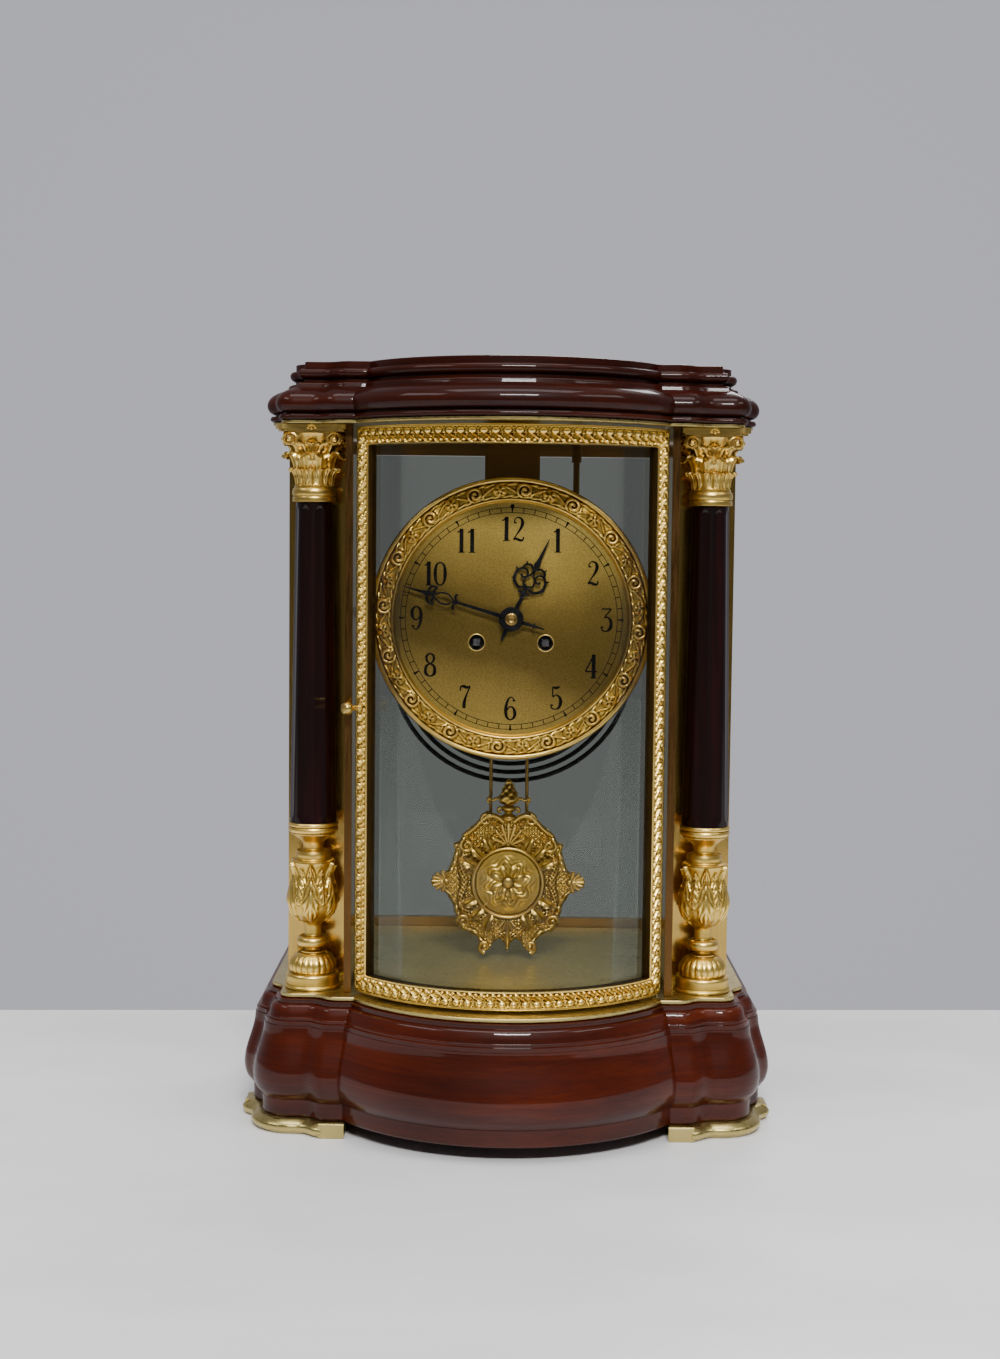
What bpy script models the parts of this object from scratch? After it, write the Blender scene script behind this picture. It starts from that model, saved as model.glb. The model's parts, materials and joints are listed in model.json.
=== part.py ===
"""Four glass mantel clock: bow-fronted case with front columns, striking movement, gong and pendulum.

Metres, +Z up. The front faces -Y. The origin is on the surface the clock stands on, under the middle
of its bounding box.
"""

import math

import bmesh
import bpy
from mathutils import Matrix, Vector

# Clearance between pieces that touch, and how far a cutter runs past the wall it cuts
GAP = 0.0003
OVERRUN = 0.002

# Plan of the case: corner blocks, a step out to the flats beside them, and the bow in front
BLOCK_HALF_WIDTH = 0.1286
BLOCK_DEPTH = 0.183
BLOCK_CORNER_RADIUS = 0.008
LEAST_CORNER_RADIUS = 0.0012
STEP_START = 0.0217
STEP_REACH = 0.0075
STEP_EASE = 0.0035
BOW_RADIUS = 0.1043
BOW_CENTRE_SETBACK = 0.0513
BOW_FACETS = 12

# Heights of the case, from the floor up
FOOT_HEIGHT = 0.0084
BASE_HEIGHT = 0.065
BASE_BULGE = 0.0153
BASE_PLATE_THICKNESS = 0.0021
CASE_HEIGHT = 0.3188
TOP_PLATE_THICKNESS = 0.0018
CORNICE_HEIGHT = 0.0324
CORNICE_SETBACK = 0.0124

# Feet: bracket feet that wrap the corners of the base
FOOT_REACH = 0.0164
FOOT_ARM_LENGTH = 0.0548
FOOT_ARM_WIDTH = 0.0215

# Outlines of the mouldings, bottom to top, as shares of their reach and of their height
BASE_PROFILE_SHARES = (
    (0.62, 0.0), (0.66, 0.02), (0.66, 0.165), (0.78, 0.2), (0.95, 0.28), (1.0, 0.355), (0.92, 0.48),
    (0.74, 0.6), (0.6, 0.72), (0.56, 0.82), (0.38, 0.87), (0.19, 0.93), (0.17, 1.0),
)
CORNICE_PROFILE_SHARES = (
    (0.08, 0.0), (0.1, 0.09), (-0.09, 0.115), (0.17, 0.16), (0.26, 0.26), (0.18, 0.37), (-0.1, 0.49),
    (-0.62, 0.575), (-0.68, 0.63), (-0.95, 0.665), (-0.97, 0.73), (-0.76, 0.79), (-0.76, 0.855),
    (-1.0, 0.875), (-1.0, 1.0),
)

# Columns: their axis, measured in from the side and front planes of the corner blocks
COLUMN_INSET = 0.0169
COLUMN_SETBACK = 0.0216
VASE_FACETS = 20
VASE_HEIGHT = 0.0947
VASE_RADIUS = 0.0161
VASE_LOBES = 10
VASE_LOBE_SHARE = 0.05
SHAFT_HEIGHT = 0.1807
SHAFT_FOOT_RADIUS = 0.0133
SHAFT_TOP_RADIUS = 0.0103
SHAFT_FLUTES = 8
FLUTE_DEPTH = 0.0008
FLUTE_STOP_HEIGHT = 0.006
CAPITAL_RADIUS = 0.0158
CAPITAL_LEAVES = 8
CAPITAL_FACETS = 16
LEAF_DEPTH_SHARE = 0.1
ABACUS_HALF_WIDTH = 0.0201
ABACUS_CORNER_CUT = 0.0047
ABACUS_HOLLOW = 0.0022
ABACUS_HEIGHT = 0.0042
VOLUTE_RADIUS = 0.0042
VOLUTE_WIDTH = 0.0048

# Turned outlines of the vase and of the capital's bell, bottom to top, as shares of radius and height
VASE_PROFILE_SHARES = (
    (1.0, 0.0), (1.0, 0.015), (0.95, 0.07), (0.79, 0.085), (0.82, 0.135), (0.62, 0.185), (0.27, 0.205),
    (0.27, 0.235), (0.57, 0.245), (0.57, 0.3), (0.285, 0.31), (0.33, 0.385), (0.64, 0.43), (0.88, 0.51),
    (0.8, 0.61), (0.68, 0.67), (0.78, 0.73), (0.6, 0.78), (0.6, 0.825), (0.35, 0.84), (0.43, 0.875),
    (0.89, 0.94), (0.89, 1.0),
)
VASE_LOBED_FROM_SHARE = 0.4
VASE_LOBED_TO_SHARE = 0.65
BELL_PROFILE_SHARES = (
    (0.77, 0.0), (0.77, 0.1), (0.68, 0.12), (0.66, 0.2), (0.7, 0.32), (0.82, 0.42), (0.74, 0.46),
    (0.76, 0.54), (0.86, 0.62), (0.97, 0.66), (0.8, 0.7), (0.78, 0.8), (0.84, 0.9), (0.9, 1.0),
)

# Brass cheeks beside the front door: a bar at the front, then a plate back to the wall behind the column
DOOR_HALF_WIDTH = 0.087
JAMB_CLEARANCE = 0.0015
BAR_WIDTH = 0.0041
BAR_DEPTH = 0.0016
BAR_SETBACK = 0.003
CHEEK_PLATE_THICKNESS = 0.0022
COLUMN_WALL_SETBACK = 0.045
COLUMN_WALL_THICKNESS = 0.003

# Front door: a bowed brass frame on two pivot pins at its right-hand end
DOOR_RADIUS = 0.1067
DOOR_EDGE_SETBACK = 0.0034
DOOR_THICKNESS = 0.007
DOOR_RAIL_WIDTH = 0.0104
DOOR_FOOT_CLEARANCE = 0.0012
DOOR_FACETS = 16
DOOR_GLASS_THICKNESS = 0.0028
DOOR_GLASS_RECESS = 0.0032
PIVOT_RADIUS = 0.001
PIVOT_LENGTH = 0.0026
PIVOT_CLEARANCE = 0.0003
PIVOT_INSET = 0.0019
PIVOT_DEPTH = 0.0016
KNOB_HEIGHT = 0.2384
KNOB_RADIUS = 0.0037
KNOB_STEM_RADIUS = 0.0016
KNOB_LENGTH = 0.0125

# Sides and back
SIDE_GLASS_INSET = 0.0035
SIDE_GLASS_THICKNESS = 0.003
SIDE_RAIL_HEIGHT = 0.0085
SIDE_RAIL_WIDTH = 0.006
REAR_POST_WIDTH = 0.017
REAR_POST_DEPTH = 0.012
REAR_POST_SETBACK = 0.0035
BACK_DOOR_THICKNESS = 0.006
BACK_DOOR_RAIL_WIDTH = 0.0085
BACK_GLASS_THICKNESS = 0.003
FLOOR_PLATE_THICKNESS = 0.004
FLOOR_PLATE_MARGIN = 0.0015
FLOOR_PLATE_EAR = 0.012

# Dial and movement, measured back from the front plane of the corner blocks
DIAL_HEIGHT = 0.2879
DIAL_SETBACK = 0.0158
DIAL_RADIUS = 0.0668
DIAL_THICKNESS = 0.0012
BEZEL_INNER_RADIUS = 0.0655
BEZEL_OUTER_RADIUS = 0.0795
BEZEL_RELIEF = 0.006
BEZEL_FACETS = 44
WINDING_HOLE_RADIUS = 0.0046
WINDING_HOLE_SPREAD = 0.0194
CENTRE_HOLE_RADIUS = 0.005
MOVEMENT_SETBACK = 0.0315
MOVEMENT_DEPTH = 0.034
MOVEMENT_PLATE_RADIUS = 0.0445
MOVEMENT_PLATE_THICKNESS = 0.002
PILLAR_RADIUS = 0.003
PILLAR_CIRCLE_RADIUS = 0.0405
PILLAR_ANGLES = tuple(math.radians(degrees) for degrees in (28, 152, 252, 288))
DIAL_FOOT_RADIUS = 0.002
BRACKET_WIDTH = 0.032
BRACKET_THICKNESS = 0.003
BRACKET_FOOT_DEPTH = 0.022
BRACKET_OVERLAP = 0.01

# Wheels
TOOTH_MODULE = 0.00124
TOOTH_ADDENDUM_SHARE = 0.8
TOOTH_ROOT_SHARE = 0.34
TOOTH_TIP_SHARE = 0.1
BARREL_TEETH = 30
CENTRE_PINION_TEETH = 8
BARREL_RADIUS = 0.0155
BARREL_DEPTH = 0.016
WHEEL_THICKNESS = 0.0016
ARBOR_RADIUS = 0.0016
WINDING_ARBOR_RADIUS = 0.0026
WINDING_SQUARE_SIDE = 0.0038
RUNNING_CLEARANCE = 0.0003
ESCAPE_TEETH = 20
ESCAPE_WHEEL_RADIUS = 0.0105
ESCAPE_ARBOR_RISE = 0.0165
MOTION_MODULE = 0.0009
CANNON_TEETH = 8
MINUTE_WHEEL_TEETH = 24
MINUTE_PINION_TEETH = 7
HOUR_WHEEL_TEETH = 28
CENTRE_WHEEL_RADIUS = 0.0108

PALLET_CLEARANCE = 0.0009
PALLET_SPREAD = 38.0
PALLET_THICKNESS = 0.0016
CRUTCH_STANDOFF = 0.003
CRUTCH_WIDTH = 0.003
CRUTCH_LENGTH = 0.021
CRUTCH_PIN_SHARE = 0.7

# Hands
HAND_THICKNESS = 0.0008
MINUTE_HAND_LENGTH = 0.064
MINUTE_HAND_TAIL = 0.0195
HOUR_HAND_LENGTH = 0.0495
HOUR_HAND_TAIL = 0.0135
HAND_HUB_RADIUS = 0.0069
HAND_STEM_WIDTH = 0.0022
MINUTE_HAND_ANGLE = math.radians(286.6)
HOUR_HAND_ANGLE = math.radians(25.0)
MINUTE_LEAF_WIDTH = 0.007
HOUR_LEAF_WIDTH = 0.017

# Pendulum
PENDULUM_SETBACK = 0.08
SUSPENSION_HEIGHT = 0.3185
SUSPENSION_LENGTH = 0.014
SUSPENSION_HEAD = 0.0016
SUSPENSION_WIDTH = 0.006
SUSPENSION_THICKNESS = 0.0005
PENDULUM_ROD_SPREAD = 0.0216
PENDULUM_ROD_WIDTH = 0.003
PENDULUM_FRAME_THICKNESS = 0.0022
PENDULUM_FRAME_FOOT_HEIGHT = 0.13
BOB_CENTRE_HEIGHT = 0.1275
BOB_HALF_WIDTH = 0.0463
BOB_THICKNESS = 0.007
MEDALLION_RADIUS = 0.0185
MEDALLION_RELIEF = 0.0016

# Half of the bob's outline, from its top finial round to its lower drop, as shares of its half width
BOB_OUTLINE_SHARES = (
    (0.0, 1.34), (0.07, 1.2), (0.14, 1.06), (0.08, 0.96), (0.13, 0.91), (0.06, 0.86), (0.22, 0.83),
    (0.36, 0.75), (0.52, 0.58), (0.63, 0.47), (0.74, 0.3), (0.77, 0.16), (0.88, 0.14), (1.0, 0.04),
    (0.88, -0.08), (0.76, -0.12), (0.66, -0.38), (0.58, -0.53), (0.42, -0.64), (0.34, -0.79),
    (0.24, -0.86), (0.17, -0.76), (0.08, -0.73), (0.0, -0.84),
)

# Gong: a flat spiral of steel wire hung from a post
GONG_SETBACK = 0.104
GONG_CENTRE_HEIGHT = 0.2585
GONG_RADIUS = 0.0755
GONG_INNER_RADIUS = 0.0547
GONG_TURNS = 4
GONG_POINTS_PER_TURN = 24
GONG_WIRE_RADIUS = 0.0014
GONG_POST_SIDE = 0.039
GONG_POST_RADIUS = 0.0019
GONG_POST_HEAD_RADIUS = 0.0029
GONG_POST_HEAD_LENGTH = 0.016
GONG_BLOCK_WIDTH = 0.011
GONG_BLOCK_DEPTH = 0.01
GONG_BLOCK_HEIGHT = 0.01

# Strike hammer
HAMMER_SIDE = 0.036
HAMMER_RISE = 0.004
HAMMER_ARM_WIDTH = 0.0024
HAMMER_CLEARANCE = 0.001
HAMMER_HEAD_RADIUS = 0.0042
HAMMER_HEAD_LENGTH = 0.012
HAMMER_HEAD_DIRECTION = math.radians(160)

# Derived places
FRONT_REACH = BOW_RADIUS - BOW_CENTRE_SETBACK + BASE_BULGE
REAR_REACH = STEP_REACH + FOOT_REACH
FRONT_PLANE = (FRONT_REACH - REAR_REACH - BLOCK_DEPTH) / 2
REAR_PLANE = FRONT_PLANE + BLOCK_DEPTH
BASE_BOTTOM = FOOT_HEIGHT + GAP
BASE_TOP = BASE_BOTTOM + BASE_HEIGHT
PLATE_BOTTOM = BASE_TOP + GAP
PLATE_TOP = PLATE_BOTTOM + BASE_PLATE_THICKNESS
CASE_BOTTOM = PLATE_TOP + GAP
CASE_TOP = CASE_BOTTOM + CASE_HEIGHT
TOP_PLATE_BOTTOM = CASE_TOP + GAP
TOP_PLATE_TOP = TOP_PLATE_BOTTOM + TOP_PLATE_THICKNESS
CORNICE_BOTTOM = TOP_PLATE_TOP + GAP
COLUMN_X = BLOCK_HALF_WIDTH - COLUMN_INSET
COLUMN_Y = FRONT_PLANE + COLUMN_SETBACK
BAR_X = DOOR_HALF_WIDTH + JAMB_CLEARANCE
DOOR_END_ANGLE = math.asin(DOOR_HALF_WIDTH / DOOR_RADIUS)
DOOR_CENTRE_Y = FRONT_PLANE + DOOR_EDGE_SETBACK + DOOR_RADIUS * math.cos(DOOR_END_ANGLE)
DOOR_BOTTOM = CASE_BOTTOM + DOOR_FOOT_CLEARANCE
DOOR_TOP = CASE_TOP - DOOR_FOOT_CLEARANCE
DIAL_FRONT = FRONT_PLANE + DIAL_SETBACK
MOVEMENT_FRONT = FRONT_PLANE + MOVEMENT_SETBACK
MOVEMENT_BACK = MOVEMENT_FRONT + MOVEMENT_DEPTH
PENDULUM_Y = FRONT_PLANE + PENDULUM_SETBACK
GONG_Y = FRONT_PLANE + GONG_SETBACK
BACK_DOOR_HALF_WIDTH = BLOCK_HALF_WIDTH - REAR_POST_WIDTH - JAMB_CLEARANCE
REAR_POST_BACK = REAR_PLANE - REAR_POST_SETBACK
BACK_DOOR_BACK = REAR_POST_BACK
WHEEL_DISTANCE = TOOTH_MODULE * (BARREL_TEETH + CENTRE_PINION_TEETH) / 2
WINDING_HOLE_DROP = math.sqrt(WHEEL_DISTANCE ** 2 - WINDING_HOLE_SPREAD ** 2)


def clear_scene():
    for thing in list(bpy.data.objects):
        bpy.data.objects.remove(thing, do_unlink=True)


def finish(name, colour, roughness, metallic=0.0, transmission=0.0):
    material = bpy.data.materials.new(name)
    material.use_nodes = True
    shader = material.node_tree.nodes["Principled BSDF"]
    shader.inputs["Base Color"].default_value = (*colour, 1)
    shader.inputs["Roughness"].default_value = roughness
    shader.inputs["Metallic"].default_value = metallic
    shader.inputs["Transmission Weight"].default_value = transmission
    material.diffuse_color = (*colour, 1)
    return material


def mahogany(name):
    return finish(name, (0.13, 0.025, 0.015), 0.12)


def gilt(name):
    return finish(name, (0.83, 0.6, 0.25), 0.32, 1.0)


def brass(name):
    return finish(name, (0.75, 0.55, 0.28), 0.22, 1.0)


def steel(name):
    return finish(name, (0.45, 0.45, 0.47), 0.3, 1.0)


def blued(name):
    return finish(name, (0.02, 0.02, 0.03), 0.35, 0.6)


def clear_glass(name):
    return finish(name, (0.9, 0.95, 0.93), 0.02, 0.0, 1.0)


def loft(bm, rings, capped=True, wrapped=False):
    """Skin a list of rings of points. Wrapped joins the last ring to the first."""
    rows = [[bm.verts.new(point) for point in ring] for ring in rings]
    ahead = rows[1:] + rows[:1] if wrapped else rows[1:]
    for low, high in zip(rows, ahead):
        for i, corner in enumerate(low):
            j = (i + 1) % len(low)
            bm.faces.new((corner, low[j], high[j], high[i]))
    if capped and not wrapped:
        bm.faces.new(list(reversed(rows[0])))
        bm.faces.new(rows[-1])


def add_piece(name, bm, make_finish, pivot=(0, 0, 0), crease=40):
    """Turn a bmesh in world coordinates into an object whose origin is the pivot."""
    bmesh.ops.recalc_face_normals(bm, faces=bm.faces)
    bmesh.ops.translate(bm, verts=bm.verts, vec=-Vector(pivot))
    mesh = bpy.data.meshes.new(name)
    bm.to_mesh(mesh)
    bm.free()
    mesh.shade_smooth()
    mesh.set_sharp_from_angle(angle=math.radians(crease))
    mesh.materials.append(make_finish(name))
    piece = bpy.data.objects.new(name, mesh)
    piece.location = pivot
    bpy.context.scene.collection.objects.link(piece)
    return piece


def combine(piece, tool, operation):
    """Cut a piece with a tool, or join the tool to it. The tool stays as a hidden helper."""
    tool.hide_render = True
    tool.display_type = "WIRE"
    change = piece.modifiers.new(tool.name, "BOOLEAN")
    change.operation = operation
    change.solver = "EXACT"
    change.object = tool


def transform(bm, matrix):
    bmesh.ops.transform(bm, matrix=matrix, verts=bm.verts)


def facing(x, y, z):
    """Matrix that stands a shape up: its own +Z points forward, out of the front of the clock."""
    return Matrix.Translation((x, y, z)) @ Matrix.Rotation(math.radians(90), 4, "X")


def circle(radius, count, turn=0.0):
    angles = [turn + math.tau * i / count for i in range(count)]
    return [(radius * math.cos(a), radius * math.sin(a)) for a in angles]


def at_height(points, z):
    return [(x, y, z) for x, y in points]


def slab(bm, outline, low, high):
    loft(bm, [at_height(outline, low), at_height(outline, high)])


def box(bm, low, high):
    corners = [(low[0], low[1]), (high[0], low[1]), (high[0], high[1]), (low[0], high[1])]
    slab(bm, corners, low[2], high[2])


def turn_profile(bm, profile, facets):
    """Solid of revolution about Z from (radius, height) pairs."""
    loft(bm, [at_height(circle(radius, facets), z) for radius, z in profile])


def ring_solid(bm, outer, inner, low, high):
    """Flat slab between an outer and an inner outline with the same number of points."""
    pairs = zip(outer, inner)
    rings = [[(*a, low), (*a, high), (*b, high), (*b, low)] for a, b in pairs]
    loft(bm, rings, capped=False, wrapped=True)


def rectangle(half_width, bottom, top):
    return [(-half_width, bottom), (half_width, bottom), (half_width, top), (-half_width, top)]


def scaled(shares, reach, height, bottom):
    return [(reach * r, bottom + height * h) for r, h in shares]


def quadratic(start, control, end, steps):
    """Points along a quadratic curve, leaving out the start."""
    points = []
    for i in range(1, steps + 1):
        t = i / steps
        weights = ((1 - t) ** 2, 2 * t * (1 - t), t * t)
        points.append(tuple(sum(w * p[k] for w, p in zip(weights, (start, control, end))) for k in (0, 1)))
    return points


def corner_outline(offset):
    """One corner of the plan from the flat beside the bow round to the side.

    Each point is (inward, inward) from the two planes of the corner block.
    """
    mitre = offset * math.tan(math.radians(45) / 2)
    foot = (STEP_START - mitre, -offset)
    lip = (STEP_START + STEP_REACH - mitre, -STEP_REACH - offset)
    middle = ((foot[0] + lip[0]) / 2, (foot[1] + lip[1]) / 2)
    start = (lip[0] + STEP_EASE, lip[1])
    half = [start] + quadratic(start, lip, middle, 2)
    half += quadratic(middle, foot, (foot[0] - STEP_EASE, foot[1]), 2)
    radius = max(BLOCK_CORNER_RADIUS + offset, LEAST_CORNER_RADIUS)
    centre = radius - offset
    for degrees in (0, 22.5, 45):
        angle = math.radians(degrees)
        half.append((centre - radius * math.sin(angle), centre - radius * math.cos(angle)))
    return half + [(b, a) for a, b in reversed(half[:-1])]


def bow_outline(offset):
    """The front bow between its two junctions with the flats, left to right."""
    radius = BOW_RADIUS + offset
    flat_depth = BOW_CENTRE_SETBACK + STEP_REACH + offset
    end = math.acos(flat_depth / radius)
    centre_y = FRONT_PLANE + BOW_CENTRE_SETBACK
    angles = [end * (2 * i / BOW_FACETS - 1) for i in range(BOW_FACETS + 1)]
    return [(radius * math.sin(a), centre_y - radius * math.cos(a)) for a in angles]


def plan_outline(offset):
    """Plan of the whole case, grown outwards by the offset."""
    corner = corner_outline(offset)
    right = [(BLOCK_HALF_WIDTH - a, FRONT_PLANE + b) for a, b in corner]
    right += [(BLOCK_HALF_WIDTH - a, REAR_PLANE - b) for a, b in reversed(corner)]
    left = [(-x, y) for x, y in reversed(right)]
    return bow_outline(offset) + right + left


def moulding(bm, profile):
    loft(bm, [at_height(plan_outline(offset), z) for offset, z in profile])


def add_foot(name, side, end):
    """A bracket foot. Side is -1 or 1 along X, end is -1 at the front and 1 at the back."""
    inner_offset = FOOT_REACH - FOOT_ARM_WIDTH
    limit = FOOT_ARM_LENGTH - FOOT_REACH

    def arm(offset):
        points = [p for p in corner_outline(offset) if max(p) < limit]
        first = (limit, min(corner_outline(offset)[0]))
        return [first] + points + [(first[1], first[0])]

    rings = []
    for inset, z in ((0.1, 0.0), (0.02, 0.3), (0.0, 0.75), (0.08, 1.0)):
        outer = arm(FOOT_REACH - inset * FOOT_ARM_WIDTH)
        inner = arm(inner_offset)
        plane_y = FRONT_PLANE if end < 0 else REAR_PLANE
        outline = outer + list(reversed(inner))
        rings.append([(side * (BLOCK_HALF_WIDTH - a), plane_y - end * b, z * FOOT_HEIGHT) for a, b in outline])
    bm = bmesh.new()
    loft(bm, rings)
    add_piece(name, bm, gilt)


def add_base():
    bm = bmesh.new()
    moulding(bm, scaled(BASE_PROFILE_SHARES, BASE_BULGE, BASE_HEIGHT, BASE_BOTTOM))
    add_piece("base_moulding", bm, mahogany, crease=35)


def add_cornice():
    bm = bmesh.new()
    moulding(bm, scaled(CORNICE_PROFILE_SHARES, CORNICE_SETBACK, CORNICE_HEIGHT, CORNICE_BOTTOM))
    add_piece("cornice", bm, mahogany, crease=35)


def door_point(angle, radius, z=None):
    point = (radius * math.sin(angle), DOOR_CENTRE_Y - radius * math.cos(angle))
    return point if z is None else (*point, z)


def front_pivot():
    return door_point(DOOR_END_ANGLE - PIVOT_INSET / DOOR_RADIUS, DOOR_RADIUS - PIVOT_DEPTH)


def back_pivot():
    inset = BACK_DOOR_THICKNESS / 2
    return (BACK_DOOR_HALF_WIDTH - inset, BACK_DOOR_BACK - inset)


def add_post(name, centre, low, high, radius, facets, make_finish):
    bm = bmesh.new()
    outline = [(centre[0] + x, centre[1] + y) for x, y in circle(radius, facets)]
    slab(bm, outline, low, high)
    return add_piece(name, bm, make_finish, pivot=(*centre, low))


def add_plate(name, low, high):
    """A brass plate of the case's plan, drilled for the pivots of both doors."""
    bm = bmesh.new()
    slab(bm, plan_outline(0), low, high)
    plate = add_piece(name, bm, brass)
    hole_radius = PIVOT_RADIUS + PIVOT_CLEARANCE
    for label, centre in (("front", front_pivot()), ("back", back_pivot())):
        drill = add_post(f"{name}_{label}_drill", centre, low - OVERRUN, high + OVERRUN, hole_radius, 12, steel)
        combine(plate, drill, "DIFFERENCE")


def add_floor_plate():
    radius = DOOR_RADIUS - DOOR_THICKNESS - FLOOR_PLATE_MARGIN
    half = BAR_X - FLOOR_PLATE_MARGIN
    ear = half - FLOOR_PLATE_EAR
    end = math.asin(ear / radius)
    front = [door_point(end * (2 * i / BOW_FACETS - 1), radius) for i in range(BOW_FACETS + 1)]
    ear_y = FRONT_PLANE + COLUMN_SETBACK
    back_y = BACK_DOOR_BACK - BACK_DOOR_THICKNESS - FLOOR_PLATE_MARGIN
    right = [(ear, ear_y), (half, ear_y), (half, back_y)]
    left = [(-x, y) for x, y in reversed(right)]
    bm = bmesh.new()
    slab(bm, front + right + left, CASE_BOTTOM, CASE_BOTTOM + FLOOR_PLATE_THICKNESS)
    add_piece("floor_plate", bm, brass)


def add_vase(name, side):
    profile = scaled(VASE_PROFILE_SHARES, VASE_RADIUS, VASE_HEIGHT, CASE_BOTTOM)
    rings = []
    for (radius, z), (_, share) in zip(profile, VASE_PROFILE_SHARES):
        lobed = VASE_LOBED_FROM_SHARE < share < VASE_LOBED_TO_SHARE
        depth = VASE_LOBE_SHARE * radius if lobed else 0
        ring = []
        for i in range(VASE_FACETS):
            angle = math.tau * i / VASE_FACETS
            reach = radius - depth * (0.5 + 0.5 * math.cos(VASE_LOBES * angle))
            ring.append((side * COLUMN_X + reach * math.cos(angle), COLUMN_Y + reach * math.sin(angle), z))
        rings.append(ring)
    bm = bmesh.new()
    loft(bm, rings)
    add_piece(name, bm, gilt)


def add_shaft(name, side):
    bottom = CASE_BOTTOM + VASE_HEIGHT + GAP
    heights = (0, FLUTE_STOP_HEIGHT, 2 * FLUTE_STOP_HEIGHT, SHAFT_HEIGHT / 2)
    stations = [(h, d) for h, d in zip(heights, (0, 0, FLUTE_DEPTH, FLUTE_DEPTH))]
    stations += [(SHAFT_HEIGHT - h, d) for h, d in reversed(stations[:-1])]
    points = SHAFT_FLUTES * 4
    rings = []
    for height, depth in stations:
        radius = SHAFT_FOOT_RADIUS + (SHAFT_TOP_RADIUS - SHAFT_FOOT_RADIUS) * height / SHAFT_HEIGHT
        ring = []
        for i in range(points):
            angle = math.tau * (i + 0.5) / points
            hollow = depth if i % 4 in (1, 2) else 0
            reach = radius - hollow
            ring.append((side * COLUMN_X + reach * math.cos(angle), COLUMN_Y + reach * math.sin(angle), bottom + height))
        rings.append(ring)
    bm = bmesh.new()
    loft(bm, rings)
    add_piece(name, bm, mahogany)


def abacus_outline():
    """Square with cut corners and hollowed sides."""
    half = ABACUS_HALF_WIDTH
    cut = half - ABACUS_CORNER_CUT
    side = [(cut, -half), (half, -cut), (half - ABACUS_HOLLOW, 0)]
    outline = []
    for quarter in range(4):
        angle = math.radians(90) * quarter
        c, s = math.cos(angle), math.sin(angle)
        outline += [(c * x - s * y, s * x + c * y) for x, y in side]
    return outline


def add_capital(name, side):
    """Bell with two tiers of leaves, corner volutes and a hollow-sided abacus, as one casting."""
    bottom = CASE_BOTTOM + VASE_HEIGHT + SHAFT_HEIGHT + 2 * GAP
    abacus_bottom = CASE_TOP - ABACUS_HEIGHT
    height = abacus_bottom - bottom
    rings = []
    for r, h in BELL_PROFILE_SHARES:
        lobe = LEAF_DEPTH_SHARE if h > BELL_PROFILE_SHARES[2][1] else 0
        ring = []
        for i in range(CAPITAL_FACETS):
            angle = math.tau * i / CAPITAL_FACETS
            wave = 0.5 - 0.5 * math.cos(CAPITAL_LEAVES * angle)
            reach = CAPITAL_RADIUS * r * (1 - lobe * wave)
            ring.append((reach * math.cos(angle), reach * math.sin(angle), bottom + height * h))
        rings.append(ring)
    rings[-1] = [(x, y, abacus_bottom + OVERRUN / 2) for x, y, _ in rings[-1]]
    centre = Matrix.Translation((side * COLUMN_X, COLUMN_Y, 0))
    bm = bmesh.new()
    loft(bm, rings)
    transform(bm, centre)
    capital = add_piece(name, bm, gilt)
    bm = bmesh.new()
    slab(bm, abacus_outline(), abacus_bottom, CASE_TOP)
    transform(bm, centre)
    combine(capital, add_piece(f"{name}_abacus", bm, gilt), "UNION")
    for quarter in range(4):
        angle = math.radians(45 + 90 * quarter)
        reach = CAPITAL_RADIUS
        bm = bmesh.new()
        slab(bm, circle(VOLUTE_RADIUS, 12), -VOLUTE_WIDTH / 2, VOLUTE_WIDTH / 2)
        transform(bm, Matrix.Rotation(math.radians(90), 4, "X"))
        transform(bm, Matrix.Rotation(angle, 4, "Z") @ Matrix.Translation((reach, 0, abacus_bottom - VOLUTE_RADIUS * 0.8)))
        transform(bm, centre)
        combine(capital, add_piece(f"{name}_volute_{quarter}", bm, gilt), "UNION")


def add_cheek(name, side):
    """Bar beside the door, the plate behind it and the wall behind the column, bent from one sheet."""
    front = FRONT_PLANE + BAR_SETBACK
    wall = FRONT_PLANE + COLUMN_WALL_SETBACK
    outer = BLOCK_HALF_WIDTH - GAP
    inner = BAR_X + CHEEK_PLATE_THICKNESS
    outline = [
        (BAR_X, front),
        (BAR_X + BAR_WIDTH, front),
        (BAR_X + BAR_WIDTH, front + BAR_DEPTH),
        (inner, front + BAR_DEPTH),
        (inner, wall),
        (outer, wall),
        (outer, wall + COLUMN_WALL_THICKNESS),
        (BAR_X, wall + COLUMN_WALL_THICKNESS),
    ]
    bm = bmesh.new()
    slab(bm, [(side * x, y) for x, y in outline], CASE_BOTTOM, CASE_TOP)
    add_piece(name, bm, brass)


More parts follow.
